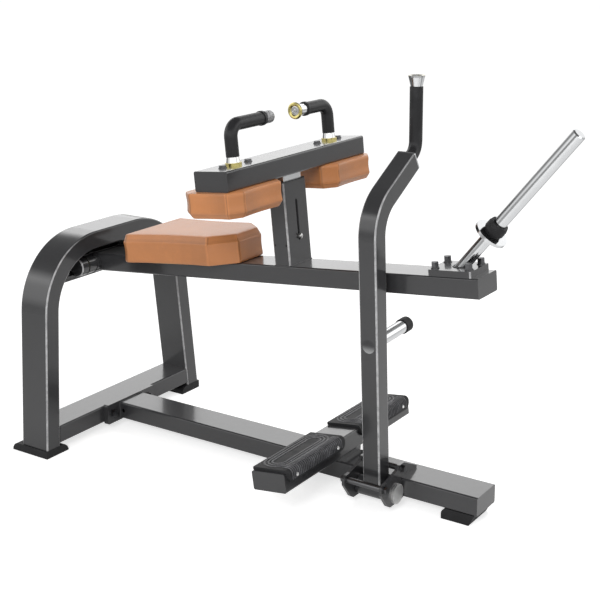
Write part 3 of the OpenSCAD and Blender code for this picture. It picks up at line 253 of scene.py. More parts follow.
class Finish:
    """A node material that is built up in code."""

    def __init__(self, name):
        self.material = bpy.data.materials.new(name)
        self.material.use_nodes = True
        tree = self.material.node_tree
        tree.nodes.clear()
        self.nodes, self.links = tree.nodes, tree.links
        self.coords = self.add("ShaderNodeTexCoord")

    def feed(self, socket, value):
        """Links a wire to a socket, or sets the socket to a number or a colour."""
        if isinstance(value, Wire):
            self.links.new(value.socket, socket)
        elif isinstance(value, (tuple, list)) and len(value) == 3 and socket.type == "RGBA":
            socket.default_value = (*value, 1.0)
        else:
            socket.default_value = value

    def add(self, kind, settings=(), **inputs):
        """Adds a node. Settings come first, then the values or links of its sockets, by name."""
        node = self.nodes.new(kind)
        for key, value in dict(settings).items():
            setattr(node, key, value)
        for key, value in inputs.items():
            self.feed(node.inputs[key.replace("_", " ")], value)
        return node

    def out(self, node, name):
        """One output of a node."""
        return Wire(self, node.outputs[name])

    def math(self, operation, *values):
        """The result of a Math node."""
        node = self.nodes.new("ShaderNodeMath")
        node.operation = operation
        for slot, value in zip(node.inputs, values):
            self.feed(slot, value)
        return Wire(self, node.outputs[0])

    @property
    def place(self):
        """The place on the object."""
        return self.out(self.coords, "Object")

    def parts(self, vector):
        """The X, Y and Z of a vector."""
        node = self.add("ShaderNodeSeparateXYZ", Vector=vector)
        return [self.out(node, axis) for axis in "XYZ"]

    def uv(self):
        """Metres along a cushion's side, and up from its seam."""
        along, across, _ = self.parts(self.out(self.coords, "UV"))
        return along, across

    def xyz(self):
        """The parts of the place on the object along X, Y and Z."""
        return self.parts(self.place)

    def facing(self):
        """The parts of the surface's own direction along X, Y and Z."""
        return self.parts(self.out(self.coords, "Normal"))

    def stretched(self, scale):
        """The object's coordinates scaled by a different amount along each axis."""
        node = self.add("ShaderNodeMapping", Vector=self.place, Scale=scale)
        return self.out(node, "Vector")

    def noise(self, scale, detail=2.0, rough=0.5, where=None):
        """Smooth noise. Scale is how many of its waves fit in a metre."""
        node = self.add("ShaderNodeTexNoise", Vector=where or self.place, Scale=scale, Detail=detail,
                        Roughness=rough)
        return self.out(node, "Fac")

    def cells(self, scale, feature):
        """Distance within the cells of a Voronoi pattern."""
        node = self.add("ShaderNodeTexVoronoi", {"feature": feature}, Vector=self.place, Scale=scale)
        return self.out(node, "Distance")

    def ramp(self, factor, low, high):
        """0 below low, 1 above high, smooth between."""
        node = self.add("ShaderNodeMapRange", {"interpolation_type": "SMOOTHSTEP"})
        self.feed(node.inputs["Value"], factor)
        node.inputs["From Min"].default_value = low
        node.inputs["From Max"].default_value = high
        return self.out(node, "Result")

    def mix(self, factor, a, b):
        """The first colour where the factor is 0, the second where it is 1."""
        node = self.add("ShaderNodeMix", {"data_type": "RGBA"})
        for index, value in ((0, factor), (6, a), (7, b)):
            self.feed(node.inputs[index], value)
        return Wire(self, node.outputs[2])

    def bump(self, height, distance, strength=1.0):
        """A surface direction that follows a height, whose full step is distance in metres."""
        node = self.add("ShaderNodeBump", Height=height, Distance=distance, Strength=strength)
        return self.out(node, "Normal")

    def surface(self, **inputs):
        """The closing Principled shader and the material's output."""
        shader = self.add("ShaderNodeBsdfPrincipled", **inputs)
        end = self.add("ShaderNodeOutputMaterial")
        self.links.new(shader.outputs[0], end.inputs["Surface"])
        return self.material


# Finishes

DUST = (0.3, 0.3, 0.3)
# Colour of the painted highlight on the square tubes' upright corners
CORNER_HIGHLIGHT = (0.62, 0.62, 0.63)
CHROME = (0.80, 0.81, 0.82)
BAND_SHADE = 0.16                   # how bright a dark band of chrome is

# Painted reflection: chrome is painted dark where it faces square to the first direction, and in a thin line where
# the cosine of its angle to the second one is THIN_BAND_AT
BROAD_BAND = (0.855, -0.449, 0.261)
THIN_BAND = (0.823, 0.568)
THIN_BAND_AT = 0.55

# Sizes on the pads' cover, along the stitches and up from the seam
STITCH_PITCH = 4.5 * MM
STITCH_RUN = 3.2 * MM
STITCH_UP = 3.5 * MM
STITCH_HALF = 0.6 * MM
SEAM_HALF = 0.7 * MM

# Painted sheen and shade on the pads' walls: nine sheen peaks in a full turn, one of them this far round from the
# near side
SHEEN_TURN = math.radians(48)
SHEEN_WAVES = 9


def shade(colour, factor):
    """A colour made darker or lighter."""
    return tuple(c * factor for c in colour)


def painted_steel(name, colour):
    """Glossy powder coat: fine orange peel, faint streaks, dust, and a painted highlight on the tubes' upright
    corners.
    """
    f = Finish(name)
    nx, ny, _ = f.facing()
    # Painted highlight: the coat is painted paler on the rounded upright corners, where the surface faces between
    # X and Y
    highlight_corners = f.ramp((nx * ny).size(), 0.10, 0.34)
    mottle = f.ramp(f.noise(55, 4.0, 0.65), 0.25, 0.7)
    peel = f.noise(1400, 2.0)
    cloud = f.noise(7, 3.0)
    streak = f.noise(60, 4.0, 0.6, f.stretched((1, 1, 9)))
    dust = f.ramp(f.noise(160, 5.0, 0.7), 0.62, 0.78)
    tone = f.mix(cloud, shade(colour, 0.86), shade(colour, 1.16))
    tone = f.mix(dust * 0.05, tone, DUST)
    # Lays the painted corner highlight, broken up by noise, over the coat
    tone = f.mix(highlight_corners * 0.85 * (0.5 + 0.5 * mottle), tone, CORNER_HIGHLIGHT)
    rough = 0.26 + 0.06 * streak + 0.04 * dust
    return f.surface(Base_Color=tone, Roughness=rough, Normal=f.bump(peel, 0.00003, 0.4),
                     Specular_IOR_Level=0.3, Coat_Weight=0.9, Coat_Roughness=0.12)


def weld_paint(name, colour):
    """The same coat over the ripples of a weld, with painted shade in their hollows and painted highlight on their
    crests.
    """
    f = Finish(name)
    ripples = f.noise(420, 2.0)
    # Painted shade and highlight: the colour follows the ripples' height, darker in the hollows and paler on the
    # crests
    tone = f.mix(ripples, shade(colour, 0.7), shade(colour, 1.2))
    return f.surface(Base_Color=tone, Roughness=0.4 + 0.1 * ripples, Normal=f.bump(ripples, 0.0012, 0.8),
                     Coat_Weight=0.3, Coat_Roughness=0.25)


def moulded_rubber(name, colour, rough=0.62):
    """Black rubber with a fine mould texture and slight bloom."""
    f = Finish(name)
    grain = f.noise(1800, 3.0)
    bloom = f.ramp(f.noise(22, 4.0, 0.6), 0.45, 0.8)
    tone = f.mix(bloom, colour, shade(colour, 2.1))
    return f.surface(Base_Color=tone, Roughness=rough - 0.08 + 0.16 * bloom,
                     Normal=f.bump(grain, 0.00012, 0.7), Specular_IOR_Level=0.3)


def banded_chrome(f, colour, bright):
    """Plating with painted reflections: soft dark bands along a polished bar or turned ring, as a studio's dark
    sides give.
    """
    nx, ny, nz = f.facing()
    ax, ay, az = BROAD_BAND
    bx, by = THIN_BAND
    broad = f.ramp((nx * ax + ny * ay + nz * az).size(), 0.03, 0.46)
    thin = f.ramp(((nx * bx + ny * by).size() - THIN_BAND_AT).size(), 0.02, 0.13)
    return f.mix(broad * (0.4 + 0.6 * thin), shade(colour, BAND_SHADE), bright)


def polished_chrome(name, colour):
    """Bright plating with painted dark reflection bands, faint drawn lines and slight stains."""
    f = Finish(name)
    lines = f.noise(500, 4.0, 0.65, f.stretched((1, 1, 0.05)))
    stain = f.noise(30, 4.0, 0.6)
    tone = banded_chrome(f, colour, f.mix(stain, shade(colour, 0.9), shade(colour, 1.06)))
    return f.surface(Base_Color=tone, Metallic=1.0, Roughness=0.12 + 0.06 * lines,
                     Normal=f.bump(lines, 0.00002, 0.4))


def knurled_steel(name, colour):
    """Grey metal with the small diamonds of a knurl, and painted shade in the grooves between them."""
    f = Finish(name)
    diamonds = f.cells(480, "DISTANCE_TO_EDGE")
    cut = f.ramp(diamonds, 0.02, 0.2)
    # Painted shade: the grooves between the diamonds are darkened
    tone = f.mix(cut, shade(colour, 0.35), colour)
    return f.surface(Base_Color=tone, Metallic=1.0, Roughness=0.34 - 0.08 * cut,
                     Normal=f.bump(cut, 0.0006, 0.8))


def painted_end_chrome(name, chrome, paint, near_y):
    """The catch's peg: chromed, with its near end painted over flush with the post."""
    f = Finish(name)
    _, y, _ = f.xyz()
    bare = f.ramp(y, near_y + 0.5 * MM, near_y + 1.5 * MM)
    lines = f.noise(500, 4.0)
    # The chrome carries the painted dark reflection bands
    tone = f.mix(bare, paint, banded_chrome(f, chrome, chrome))
    return f.surface(Base_Color=tone, Metallic=bare, Roughness=0.34 - 0.2 * bare + 0.05 * lines)


def bare_steel(name, colour, rough, streaks=(1, 1, 1)):
    """Metal with fine drawn lines and slight stains."""
    f = Finish(name)
    lines = f.noise(500, 4.0, 0.65, f.stretched(streaks))
    stain = f.noise(30, 4.0, 0.6)
    tone = f.mix(stain, shade(colour, 0.82), shade(colour, 1.12))
    return f.surface(Base_Color=tone, Metallic=1.0, Roughness=rough * 0.75 + rough * 0.5 * lines,
                     Normal=f.bump(lines, 0.00003, 0.5))


def upholstery(name, colour):
    """Vinyl leather: pebbled grain, painted sheen and shade on the walls, and stitches beside the cover's seam."""
    f = Finish(name)
    along, across = f.uv()
    pebble = f.cells(620, "SMOOTH_F1")
    crease = f.cells(260, "DISTANCE_TO_EDGE")
    drift = f.noise(9, 4.0, 0.55)
    mottle = f.ramp(f.noise(60, 5.0, 0.65), 0.5, 0.8)
    stitch = (along.repeat(STITCH_PITCH) < STITCH_RUN) * across.near(STITCH_UP, STITCH_HALF)
    seam = across.near(0.0, SEAM_HALF)
    nx, ny, nz = f.facing()
    turn = (f.math("ARCTAN2", nx, -1 * ny) - SHEEN_TURN) * SHEEN_WAVES
    painted_sheen = f.math("COSINE", turn) * 0.5 + 0.5
    wall = f.ramp(nz.size(), 0.75, 0.45)
    tone = f.mix(drift, shade(colour, 0.84), shade(colour, 1.14))
    tone = f.mix(mottle * 0.18, tone, shade(colour, 1.5))
    # Painted shade: the walls are darkened between the peaks of the painted sheen, by which way each wall faces
    tone = f.mix(wall * (1 - painted_sheen) * 0.85, tone, shade(colour, 0.55))
    tone = f.mix(stitch * 0.55, tone, shade(colour, 0.55))
    tone = f.mix(seam * 0.35, tone, shade(colour, 0.5))
    grain = pebble * 0.7 + f.ramp(crease, 0.0, 0.12) * 0.5
    height = grain + stitch * 1.2 - seam * 3.0
    rough = 0.40 + 0.10 * mottle + 0.06 * pebble
    return f.surface(Base_Color=tone, Roughness=rough, Normal=f.bump(height, 0.00028, 0.75),
                     Specular_IOR_Level=0.5, Coat_Weight=0.5, Coat_Roughness=0.25)


def collar_metal(name, chrome, gold, split):
    """One turned collar: a gold-coloured foot, and a chromed neck from the height split along the mast."""
    f = Finish(name)
    x, _, z = f.xyz()
    up = (x - PIVOT.x) * (-math.sin(LEVER_LIFT)) + (z - PIVOT.z) * math.cos(LEVER_LIFT)
    neck = f.ramp(up, split - 0.3 * MM, split + 0.3 * MM)
    lines = f.noise(600, 4.0)
    # The chromed neck carries the painted dark reflection bands
    tone = f.mix(neck, gold, banded_chrome(f, chrome, chrome))
    return f.surface(Base_Color=tone, Metallic=1.0, Roughness=0.26 - 0.12 * neck + 0.06 * lines)


def plywood(name, colour):
    """Raw boards with their grain along the machine."""
    f = Finish(name)
    grain = f.noise(60, 5.0, 0.6, f.stretched((1, 12, 12)))
    return f.surface(Base_Color=f.mix(grain, shade(colour, 0.7), shade(colour, 1.25)), Roughness=0.7,
                     Normal=f.bump(grain, 0.0003, 0.5))


FINISHES = {}                       # filled by the first operator

# Nodes whose finish isn't the one of their material slot
SPECIAL_FINISHES = {
    "handle_collars": "collar_metal",
    "handle_grips": "grip_rubber",
    "catch_grip": "grip_rubber",
    "catch_shaft": "shaft_steel",
    "catch_peg": "peg_metal",
    "foot_pad_rivets": "shaft_steel",
}


# Settings

class CalfLookSettings(bpy.types.PropertyGroup):
    """Colours and sizes of the looks"""

    paint: bpy.props.FloatVectorProperty(
        name="Frame Paint", description="Colour of the powder coat", subtype="COLOR",
        default=(0.034, 0.034, 0.036))
    leather: bpy.props.FloatVectorProperty(
        name="Upholstery", description="Colour of the pads", subtype="COLOR", default=(0.56, 0.218, 0.073))
    rubber: bpy.props.FloatVectorProperty(
        name="Rubber", description="Colour of grips, feet and treads", subtype="COLOR",
        default=(0.014, 0.014, 0.015))
    gold: bpy.props.FloatVectorProperty(
        name="Rim Gold", description="Colour of the plated rims", subtype="COLOR", default=(0.60, 0.52, 0.20))
    rib_pitch: bpy.props.FloatProperty(
        name="Rib Pitch", description="Distance between the ribs of a foot pad", subtype="DISTANCE",
        unit="LENGTH", default=7.4 * MM, min=5 * MM, max=12 * MM)
    weld_bead: bpy.props.FloatProperty(
        name="Weld Bead", description="Radius of the weld beads", subtype="DISTANCE", unit="LENGTH",
        default=2.2 * MM, min=1 * MM, max=5 * MM)


class CalfPadSettings(bpy.types.PropertyGroup):
    """Shape of the cushions"""

    seat_band: bpy.props.FloatProperty(
        name="Seat Band", description="Height of the slanted band round the seat's top",
        subtype="DISTANCE", unit="LENGTH", default=17 * MM)
    thigh_band: bpy.props.FloatProperty(
        name="Thigh Pad Band", description="Height of the slanted band round a thigh pad's face",
        subtype="DISTANCE", unit="LENGTH", default=12 * MM)
    seat_waist: bpy.props.FloatProperty(
        name="Seat Waist", description="How far the seat's long sides curve in at their middle",
        subtype="DISTANCE", unit="LENGTH", default=17 * MM)
    edge_in: bpy.props.FloatProperty(
        name="Band Lean", description="How far the band leans in", subtype="DISTANCE", unit="LENGTH",
        default=11 * MM)
    thigh_waist: bpy.props.FloatProperty(
        name="Thigh Pad Waist", description="How far a long side curves in, as a share of its length",
        default=0.05, min=0.005, max=0.06)
    crown: bpy.props.FloatProperty(
        name="Crown", description="Rise of the middle over the edge", subtype="DISTANCE", unit="LENGTH",
        default=2.5 * MM)
    draw: bpy.props.FloatProperty(
        name="Draw", description="How far the walls pull in between top and bottom", subtype="DISTANCE",
        unit="LENGTH", default=1.6 * MM)


# Operators

class CALF_OT_finishes(bpy.types.Operator):
    """Makes the finishes and gives every carried-over part its own"""

    bl_idname = "calf.finishes"
    bl_label = "Finishes"

    def execute(self, context):
        looks = context.scene.calf_looks
        paint, rubber, gold = tuple(looks.paint), tuple(looks.rubber), tuple(looks.gold)
        split = BAR_TOP + COLLAR_FOOT
        FINISHES.update(
            charcoal_paint=painted_steel("charcoal_paint", paint),
            weld_paint=weld_paint("weld_paint", paint),
            black_rubber=moulded_rubber("black_rubber", rubber),
            grip_rubber=moulded_rubber("grip_rubber", shade(rubber, 1.3), 0.42),
            # The black rubber made six times lighter: painted highlight on the foot pads' ribs and lips
            rib_rubber=moulded_rubber("rib_rubber", shade(rubber, 6.0), 0.30),
            zinc_steel=bare_steel("zinc_steel", (0.58, 0.58, 0.57), 0.32),
            black_steel=bare_steel("black_steel", (0.15, 0.15, 0.155), 0.30),
            shaft_steel=bare_steel("shaft_steel", (0.95, 0.95, 0.94), 0.5),
            chromed_steel=polished_chrome("chromed_steel", CHROME),
            knurled_steel=knurled_steel("knurled_steel", (0.52, 0.52, 0.53)),
            peg_metal=painted_end_chrome("peg_metal", CHROME, paint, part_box("catch_peg")[0].y),
            pale_brass=bare_steel("pale_brass", gold, 0.26),
            collar_metal=collar_metal("collar_metal", (0.85, 0.85, 0.84), gold, split),
            tan_leather=upholstery("tan_leather", tuple(looks.leather)),
            birch_plywood=plywood("birch_plywood", (0.52, 0.36, 0.2)),
            black_plastic=moulded_rubber("black_plastic", (0.02, 0.02, 0.021), 0.4),
        )
        for part in frame["record"]["subparts"]:
            node = frame["nodes"][part["node"]]
            finish = FINISHES[SPECIAL_FINISHES.get(part["node"], part["material_slot"])]
            node.data.materials.clear()
            node.data.materials.append(finish)
        return {"FINISHED"}


# Outline of the far thigh pad in mm, from the mast and from the pad's middle: X, Y and corner radius
THIGH_OUTLINE = ((-90, -116, 18), (41, -116, 7), (78, -83, 5), (78, 66, 5), (52, 105, 7), (-58, 111, 12),
                 (-90, 82, 14))
THIGH_SIDE = 213 * MM
THIGH_HEIGHT = 66 * MM
SEAT_HEIGHT = 80 * MM

# Section of a cover in mm, in from its outline and up: where it bends under, and where it bends at its seam
BOTTOM_BEND = ((4.8, 0), (1.6, 1.2), (0.4, 4), (0, 9))
SEAM_BEND = ((0, -5.5), (0.3, -3), (1.3, -1.2), (2.2, 0.6))
CROWN_WIDTH = 36 * MM
SMALLEST_RADIUS = 4 * MM
COLUMNS = 240


def rounded(points, radii, steps=7):
    """A closed outline with rounded corners, anticlockwise."""
    out = []
    n = len(points)
    for i, (p, r) in enumerate(zip(points, radii)):
        p = Vector(p)
        a = (Vector(points[i - 1]) - p).normalized()
        b = (Vector(points[(i + 1) % n]) - p).normalized()
        half = a.angle(b) / 2
        centre = p + (a + b).normalized() * r / math.sin(half)
        t1 = p + a * r / math.tan(half) - centre
        t2 = p + b * r / math.tan(half) - centre
        turn = math.atan2(t1.x * t2.y - t1.y * t2.x, t1.dot(t2))
        start = math.atan2(t1.y, t1.x)
        for j in range(steps + 1):
            angle = start + turn * j / steps
            out.append(centre + r * Vector((math.cos(angle), math.sin(angle))))
    return out


def resampled(outline, count):
    """The same closed outline as count points at equal distances, and its length."""
    loop = outline + [outline[0]]
    lengths = [0.0]
    for a, b in zip(loop, loop[1:]):
        lengths.append(lengths[-1] + (b - a).length)
    total, out, k = lengths[-1], [], 0
    for i in range(count):
        goal = total * i / count
        while lengths[k + 1] < goal:
            k += 1
        share = (goal - lengths[k]) / max(lengths[k + 1] - lengths[k], 1e-12)
        out.append(loop[k].lerp(loop[k + 1], share))
    return out, total


def inset(points, d):
    """Every edge of an anticlockwise outline moved in by d."""
    out = []
    n = len(points)
    for i, p in enumerate(points):
        p = Vector(p)
        e1 = (p - Vector(points[i - 1])).normalized()
        e2 = (Vector(points[(i + 1) % n]) - p).normalized()
        n1, n2 = Vector((-e1.y, e1.x)), Vector((-e2.y, e2.x))
        out.append(p + (n1 + n2) / (1 + n1.dot(n2)) * d)
    return out


def drawn_in(points, radii, share, shortest):
    """Bends every long side of an outline inwards, as a cover pulls in between its corners."""
    out, bends = [], []
    for i, (p, r) in enumerate(zip(points, radii)):
        start, end = Vector(p), Vector(points[(i + 1) % len(points)])
        side = end - start
        out.append(tuple(start))
        bends.append(r)
        if side.length > shortest:
            out.append(tuple((start + end) / 2 + Vector((-side.y, side.x)) * share))
            bends.append(0.17 * side.length / share)
    return out, bends


def cover_levels(height, drop, pad):
    """A cover's section from its bottom to its crown, as distances in and up, and where its seam is in it."""
    edge = height - pad.crown
    band = edge - drop
    lean = pad.edge_in
    levels = [(d * MM, z * MM) for d, z in BOTTOM_BEND]
    for k in range(1, 6):
        share = k / 6
        levels.append((pad.draw * math.sin(math.pi * share), 9 * MM + (band - 15 * MM) * share))
    levels += [(d * MM, band + z * MM) for d, z in SEAM_BEND]
    seam = len(levels) - 1
    d, z = levels[-1]
    levels += [(d + (lean - 2 * d) * k / 4, z + (edge - d - band) * k / 4) for k in range(1, 5)]
    levels += [(lean + 0.2 * MM, edge - 0.6 * MM), (lean + 2.6 * MM, edge + 0.2 * MM)]
    d, z = levels[-1]
    for k in range(1, 8):
        share = k / 8
        levels.append((d + CROWN_WIDTH * share, z + (pad.crown - 0.8 * MM) * math.sin(QUARTER * share)))
    return levels, seam


def cover_rings(points, radii, levels):
    """A ring of places for each level and three more on the crown, and how far each is along the cover."""
    rings, reach = [], []
    for k, (d, z) in enumerate(levels):
        outline = rounded(inset(points, d), [max(r - d, SMALLEST_RADIUS) for r in radii])
        ring, _ = resampled(outline, COLUMNS)
        rings.append([Vector((p.x, p.y, z)) for p in ring])
        last_d, last_z = levels[max(k - 1, 0)]
        reach.append(math.hypot(d - last_d, z - last_z) + (reach[-1] if reach else 0.0))
    middle = sum(rings[-1], Vector()) / COLUMNS
    for share in (0.75, 0.5, 0.25):
        rise = Vector((0, 0, (1 - share) * 0.6 * MM))
        rings.append([middle + (p - middle) * share + rise for p in rings[-1]])
        reach.append(reach[-1] + 30 * MM)
    return rings, reach, middle


def cushion(name, points, radii, height, drop, pad):
    """A closed upholstered form on z = 0. Its UV map is metres along its walls, and up from its seam."""
    levels, seam = cover_levels(height, drop, pad)
    rings, reach, middle = cover_rings(points, radii, levels)
    verts = [p for ring in rings for p in ring]
    top, low = len(verts), len(verts) + 1
    verts += [middle + Vector((0, 0, 0.8 * MM)), Vector((middle.x, middle.y, 0))]
    after = [(i + 1) % COLUMNS for i in range(COLUMNS)]
    faces = []
    for k in range(len(rings) - 1):
        a, b = k * COLUMNS, (k + 1) * COLUMNS
        faces += [(a + i, a + j, b + j, b + i) for i, j in enumerate(after)]
    last = (len(rings) - 1) * COLUMNS
    faces += [(last + i, last + j, top) for i, j in enumerate(after)]
    faces += [(j, i, low) for i, j in enumerate(after)]
    mesh = bpy.data.meshes.new(name)
    mesh.from_pydata([tuple(v) for v in verts], [], faces)
    layer = mesh.uv_layers.new(name="cover")
    _, total = resampled(rounded(points, radii), COLUMNS)
    for face in mesh.polygons:
        corners = [(loop, mesh.loops[loop].vertex_index) for loop in face.loop_indices]
        columns = {i % COLUMNS for _, i in corners if i < top}
        wraps = {0, COLUMNS - 1} <= columns
        for loop, i in corners:
            if i >= top:
                layer.data[loop].uv = (0, 0.9)
                continue
            column = COLUMNS if wraps and i % COLUMNS == 0 else i % COLUMNS
            layer.data[loop].uv = (column / COLUMNS * total, reach[i // COLUMNS] - reach[seam])
    obj = bpy.data.objects.new(name, mesh)
    bpy.context.scene.collection.objects.link(obj)
    return obj


class CALF_OT_seat(bpy.types.Operator):
    """Upholsters the seat"""

    bl_idname = "calf.seat"
    bl_label = "Seat"

    def execute(self, context):
        pad = context.scene.calf_pads
        rear_half, front_half, nose_half = 131 * MM, 107 * MM, 51 * MM
        length, nose = 350 * MM, 64 * MM
        waist = (rear_half + front_half) / 2 - pad.seat_waist
        side = [(length - nose, front_half), ((length - nose) / 2, waist), (0, rear_half)]
        points = [(x, -y) for x, y in reversed(side)] + [(length, -nose_half), (length, nose_half)] + side
        radii = [r * MM for r in (18, 1000, 5, 8, 8, 5, 1000, 18)]
        seat = cushion("seat_cushion", points, radii, SEAT_HEIGHT, pad.seat_band, pad)
        place(seat, LEVER @ Matrix.Translation((SEAT_FROM, 0, BEAM_TOP + 0.5 * MM)))
        finish_piece(seat, "lever", FINISHES["tan_leather"], 30)
        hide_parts("seat_pad")
        return {"FINISHED"}


class CALF_OT_thigh_pads(bpy.types.Operator):
    """Upholsters the two thigh pads"""

    bl_idname = "calf.thigh_pads"
    bl_label = "Thigh Pads"

    def execute(self, context):
        pad = context.scene.calf_pads
        points = [(x * MM, y * MM) for x, y, _ in THIGH_OUTLINE]
        radii = [r * MM for _, _, r in THIGH_OUTLINE]
        points, radii = drawn_in(points, radii, pad.thigh_waist, 90 * MM)
        far = cushion("thigh_cushion_far", points, radii, THIGH_HEIGHT, pad.thigh_band, pad)
        under_bar = LEVER @ Matrix.Translation((MAST_AT, THIGH_SIDE, BAR_BOTTOM + 0.2 * MM))
        far.data.transform(under_bar @ Matrix.Diagonal((1, 1, -1, 1)))
        far.data.flip_normals()
        near = copied(far, "thigh_cushion_near", MIRROR_Y)
        for obj, node in ((far, "thigh_pad_far"), (near, "thigh_pad_near")):
            finish_piece(obj, "carriage", FINISHES["tan_leather"], 30)
            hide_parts(node)
        return {"FINISHED"}


class CALF_OT_tread_ribs(bpy.types.Operator):
    """Adds the fine ribs over the front edge of both foot pads"""

    bl_idname = "calf.tread_ribs"
    bl_label = "Tread Ribs"

    def execute(self, context):
        pitch = context.scene.calf_looks.rib_pitch
        bend = Vector((45 * MM, 0, 20 * MM))
        bend_radius = 13 * MM
        rib_height, rib_width, reach = 3.0 * MM, 3.6 * MM, 15 * MM
        bpy.ops.mesh.primitive_plane_add(size=1, location=(0, 0, 0))
        rib = added("tread_ribs_far")
        rib.scale = (rib_height, rib_width, 1)
        rib.rotation_euler = (0, QUARTER, 0)
        rib.location = (bend.x - reach, 0, bend.z + bend_radius)
        bpy.ops.object.transform_apply(location=True, rotation=True, scale=True)
        edit_all(rib, "FACE")
        bpy.ops.mesh.extrude_region_move(TRANSFORM_OT_translate={"value": (reach, 0, 0)})
        bpy.ops.mesh.spin(steps=8, angle=-QUARTER, center=bend, axis=(0, 1, 0))
        bpy.ops.mesh.extrude_region_move(TRANSFORM_OT_translate={"value": (0, 0, -reach)})
        leave_edit()
        face_out(rib)
        modify(rib, "BEVEL", width=0.9 * MM, segments=2, limit_method="ANGLE", angle_limit=math.radians(50))
        count = int((FOOT_PAD_LENGTH - 26 * MM) / pitch)
        first = FOOT_PAD_GAP / 2 + (FOOT_PAD_LENGTH - (count - 1) * pitch) / 2
        modify(rib, "ARRAY", count=count, use_relative_offset=False, use_constant_offset=True,
               constant_offset_displace=(0, pitch, 0))
        place(rib, FOOTREST @ Matrix.Translation((0, first, 0)))
        near = copied(rib, "tread_ribs_near", MIRROR_Y)
        for obj in (rib, near):
            # The ribs get the lighter rubber, a painted highlight
            finish_piece(obj, "frame", FINISHES["rib_rubber"], 40)
        return {"FINISHED"}


class CALF_OT_tread_rings(bpy.types.Operator):
    """Adds the raised lips along the long grooves of both foot pads"""

    bl_idname = "calf.tread_rings"
    bl_label = "Tread Rings"

    def execute(self, context):
        length, width, step, groove = 233 * MM, 80 * MM, 10 * MM, 3 * MM
        lip_radius, lip_in = 1.3 * MM, 0.6 * MM
        middle = (FOOT_PAD_GAP + FOOT_PAD_LENGTH) / 2
        top = FOOTREST @ Matrix.Translation((-4 * MM, middle, 33 * MM))
        for k in range(3):
            for name, inner in (("outer", lip_in), ("inner", groove)):
                cut = 2 * (k * step + inner)
                # The lips get the lighter rubber, a painted highlight
                lip = bead_loop(f"tread_lip_{name}_{k}_far", width - cut, length - cut,
                                (width - cut) / 2 - lip_in, lip_radius, top, "frame", "rib_rubber",
                                "black_rubber")
                near = copied(lip, f"tread_lip_{name}_{k}_near", MIRROR_Y)
                finish_piece(near, "frame", FINISHES["rib_rubber"], 60)
        return {"FINISHED"}


def bead_loop(name, width, depth, corner, bead, matrix, body, finish="weld_paint", slot="charcoal_paint"):
    """A closed round bead along a rectangle with rounded corners, or a circle or oval where they meet."""
    bpy.ops.mesh.primitive_plane_add(size=1, location=(0, 0, 0))
    loop = added(name)
    loop.scale = (width, depth, 1)
    bpy.ops.object.transform_apply(location=True, rotation=True, scale=True)
    edit_all(loop, "VERT")
    bpy.ops.mesh.bevel(offset=corner * 0.999, offset_type="OFFSET", segments=6, affect="VERTICES")
    bpy.ops.mesh.select_all(action="SELECT")
    bpy.ops.mesh.delete(type="ONLY_FACE")
    leave_edit()
    place(loop, matrix)
    only(loop)
    bpy.ops.object.convert(target="CURVE")
    loop = bpy.context.active_object
    loop.data.bevel_depth = bead
    loop.data.bevel_resolution = 1
    loop.data.use_fill_caps = True
    bpy.ops.object.convert(target="MESH")
    loop = bpy.context.active_object
    loop.name = name
    loop.data.name = name
    face_out(loop)
    finish_piece(loop, body, FINISHES[finish], 60)
    return loop


class CALF_OT_welds(bpy.types.Operator):
    """Lays weld beads where tubes and plates meet"""

    bl_idname = "calf.welds"
    bl_label = "Welds"

    def execute(self, context):
        bead = context.scene.calf_looks.weld_bead
        on_mast = LEVER @ Matrix.Translation((MAST_AT, 0, 0))
        _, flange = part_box("base_flange_plate")
        on_flange = Matrix.Translation((flange.x, 0, node_middle("base_flange_plate").z))
        horn_foot = LEVER @ Matrix.Translation((HORN_AT, 0, HORN_FOOT))
        horn = 32 * MM
        bead_loop("weld_mast_foot", *TUBE, TUBE_CORNER, bead,
                  on_mast @ Matrix.Translation((0, 0, BEAM_TOP)), "lever")
        bead_loop("weld_post_head", *POST, POST_CORNER, bead * 0.8,
                  on_mast @ Matrix.Translation((0, 0, BAR_BOTTOM)), "carriage")
        bead_loop("weld_base_flange", *TUBE, TUBE_CORNER, bead,
                  on_flange @ Matrix.Rotation(QUARTER, 4, "Y"), "frame")
        bead_loop("weld_horn_foot", horn / math.sin(HORN_ANGLE), horn, horn / 2 - 0.1 * MM, bead,
                  horn_foot, "lever")
        return {"FINISHED"}


def turned(name, profile, steps=72):
    """A turned solid: a profile of radius and height in mm, spun round the Z axis."""
    bpy.ops.mesh.primitive_plane_add(size=1, location=(0, 0, 0))
    piece = added(name)
    edit_vertices(piece, lambda co: co.x > 0 or co.y > 0)
    bpy.ops.mesh.delete(type="VERT")
    leave_edit()
    piece.data.vertices[0].co = (profile[0][0] * MM, 0, profile[0][1] * MM)
    edit_vertices(piece, lambda co: True)
    for (r0, z0), (r1, z1) in zip(profile, profile[1:]):
        step = ((r1 - r0) * MM, 0, (z1 - z0) * MM)
        bpy.ops.mesh.extrude_region_move(TRANSFORM_OT_translate={"value": step})
    bpy.ops.mesh.select_all(action="SELECT")
    bpy.ops.mesh.spin(steps=steps, angle=2 * math.pi, center=(0, 0, 0), axis=(0, 0, 1))
    leave_edit()
    face_out(piece)
    return piece


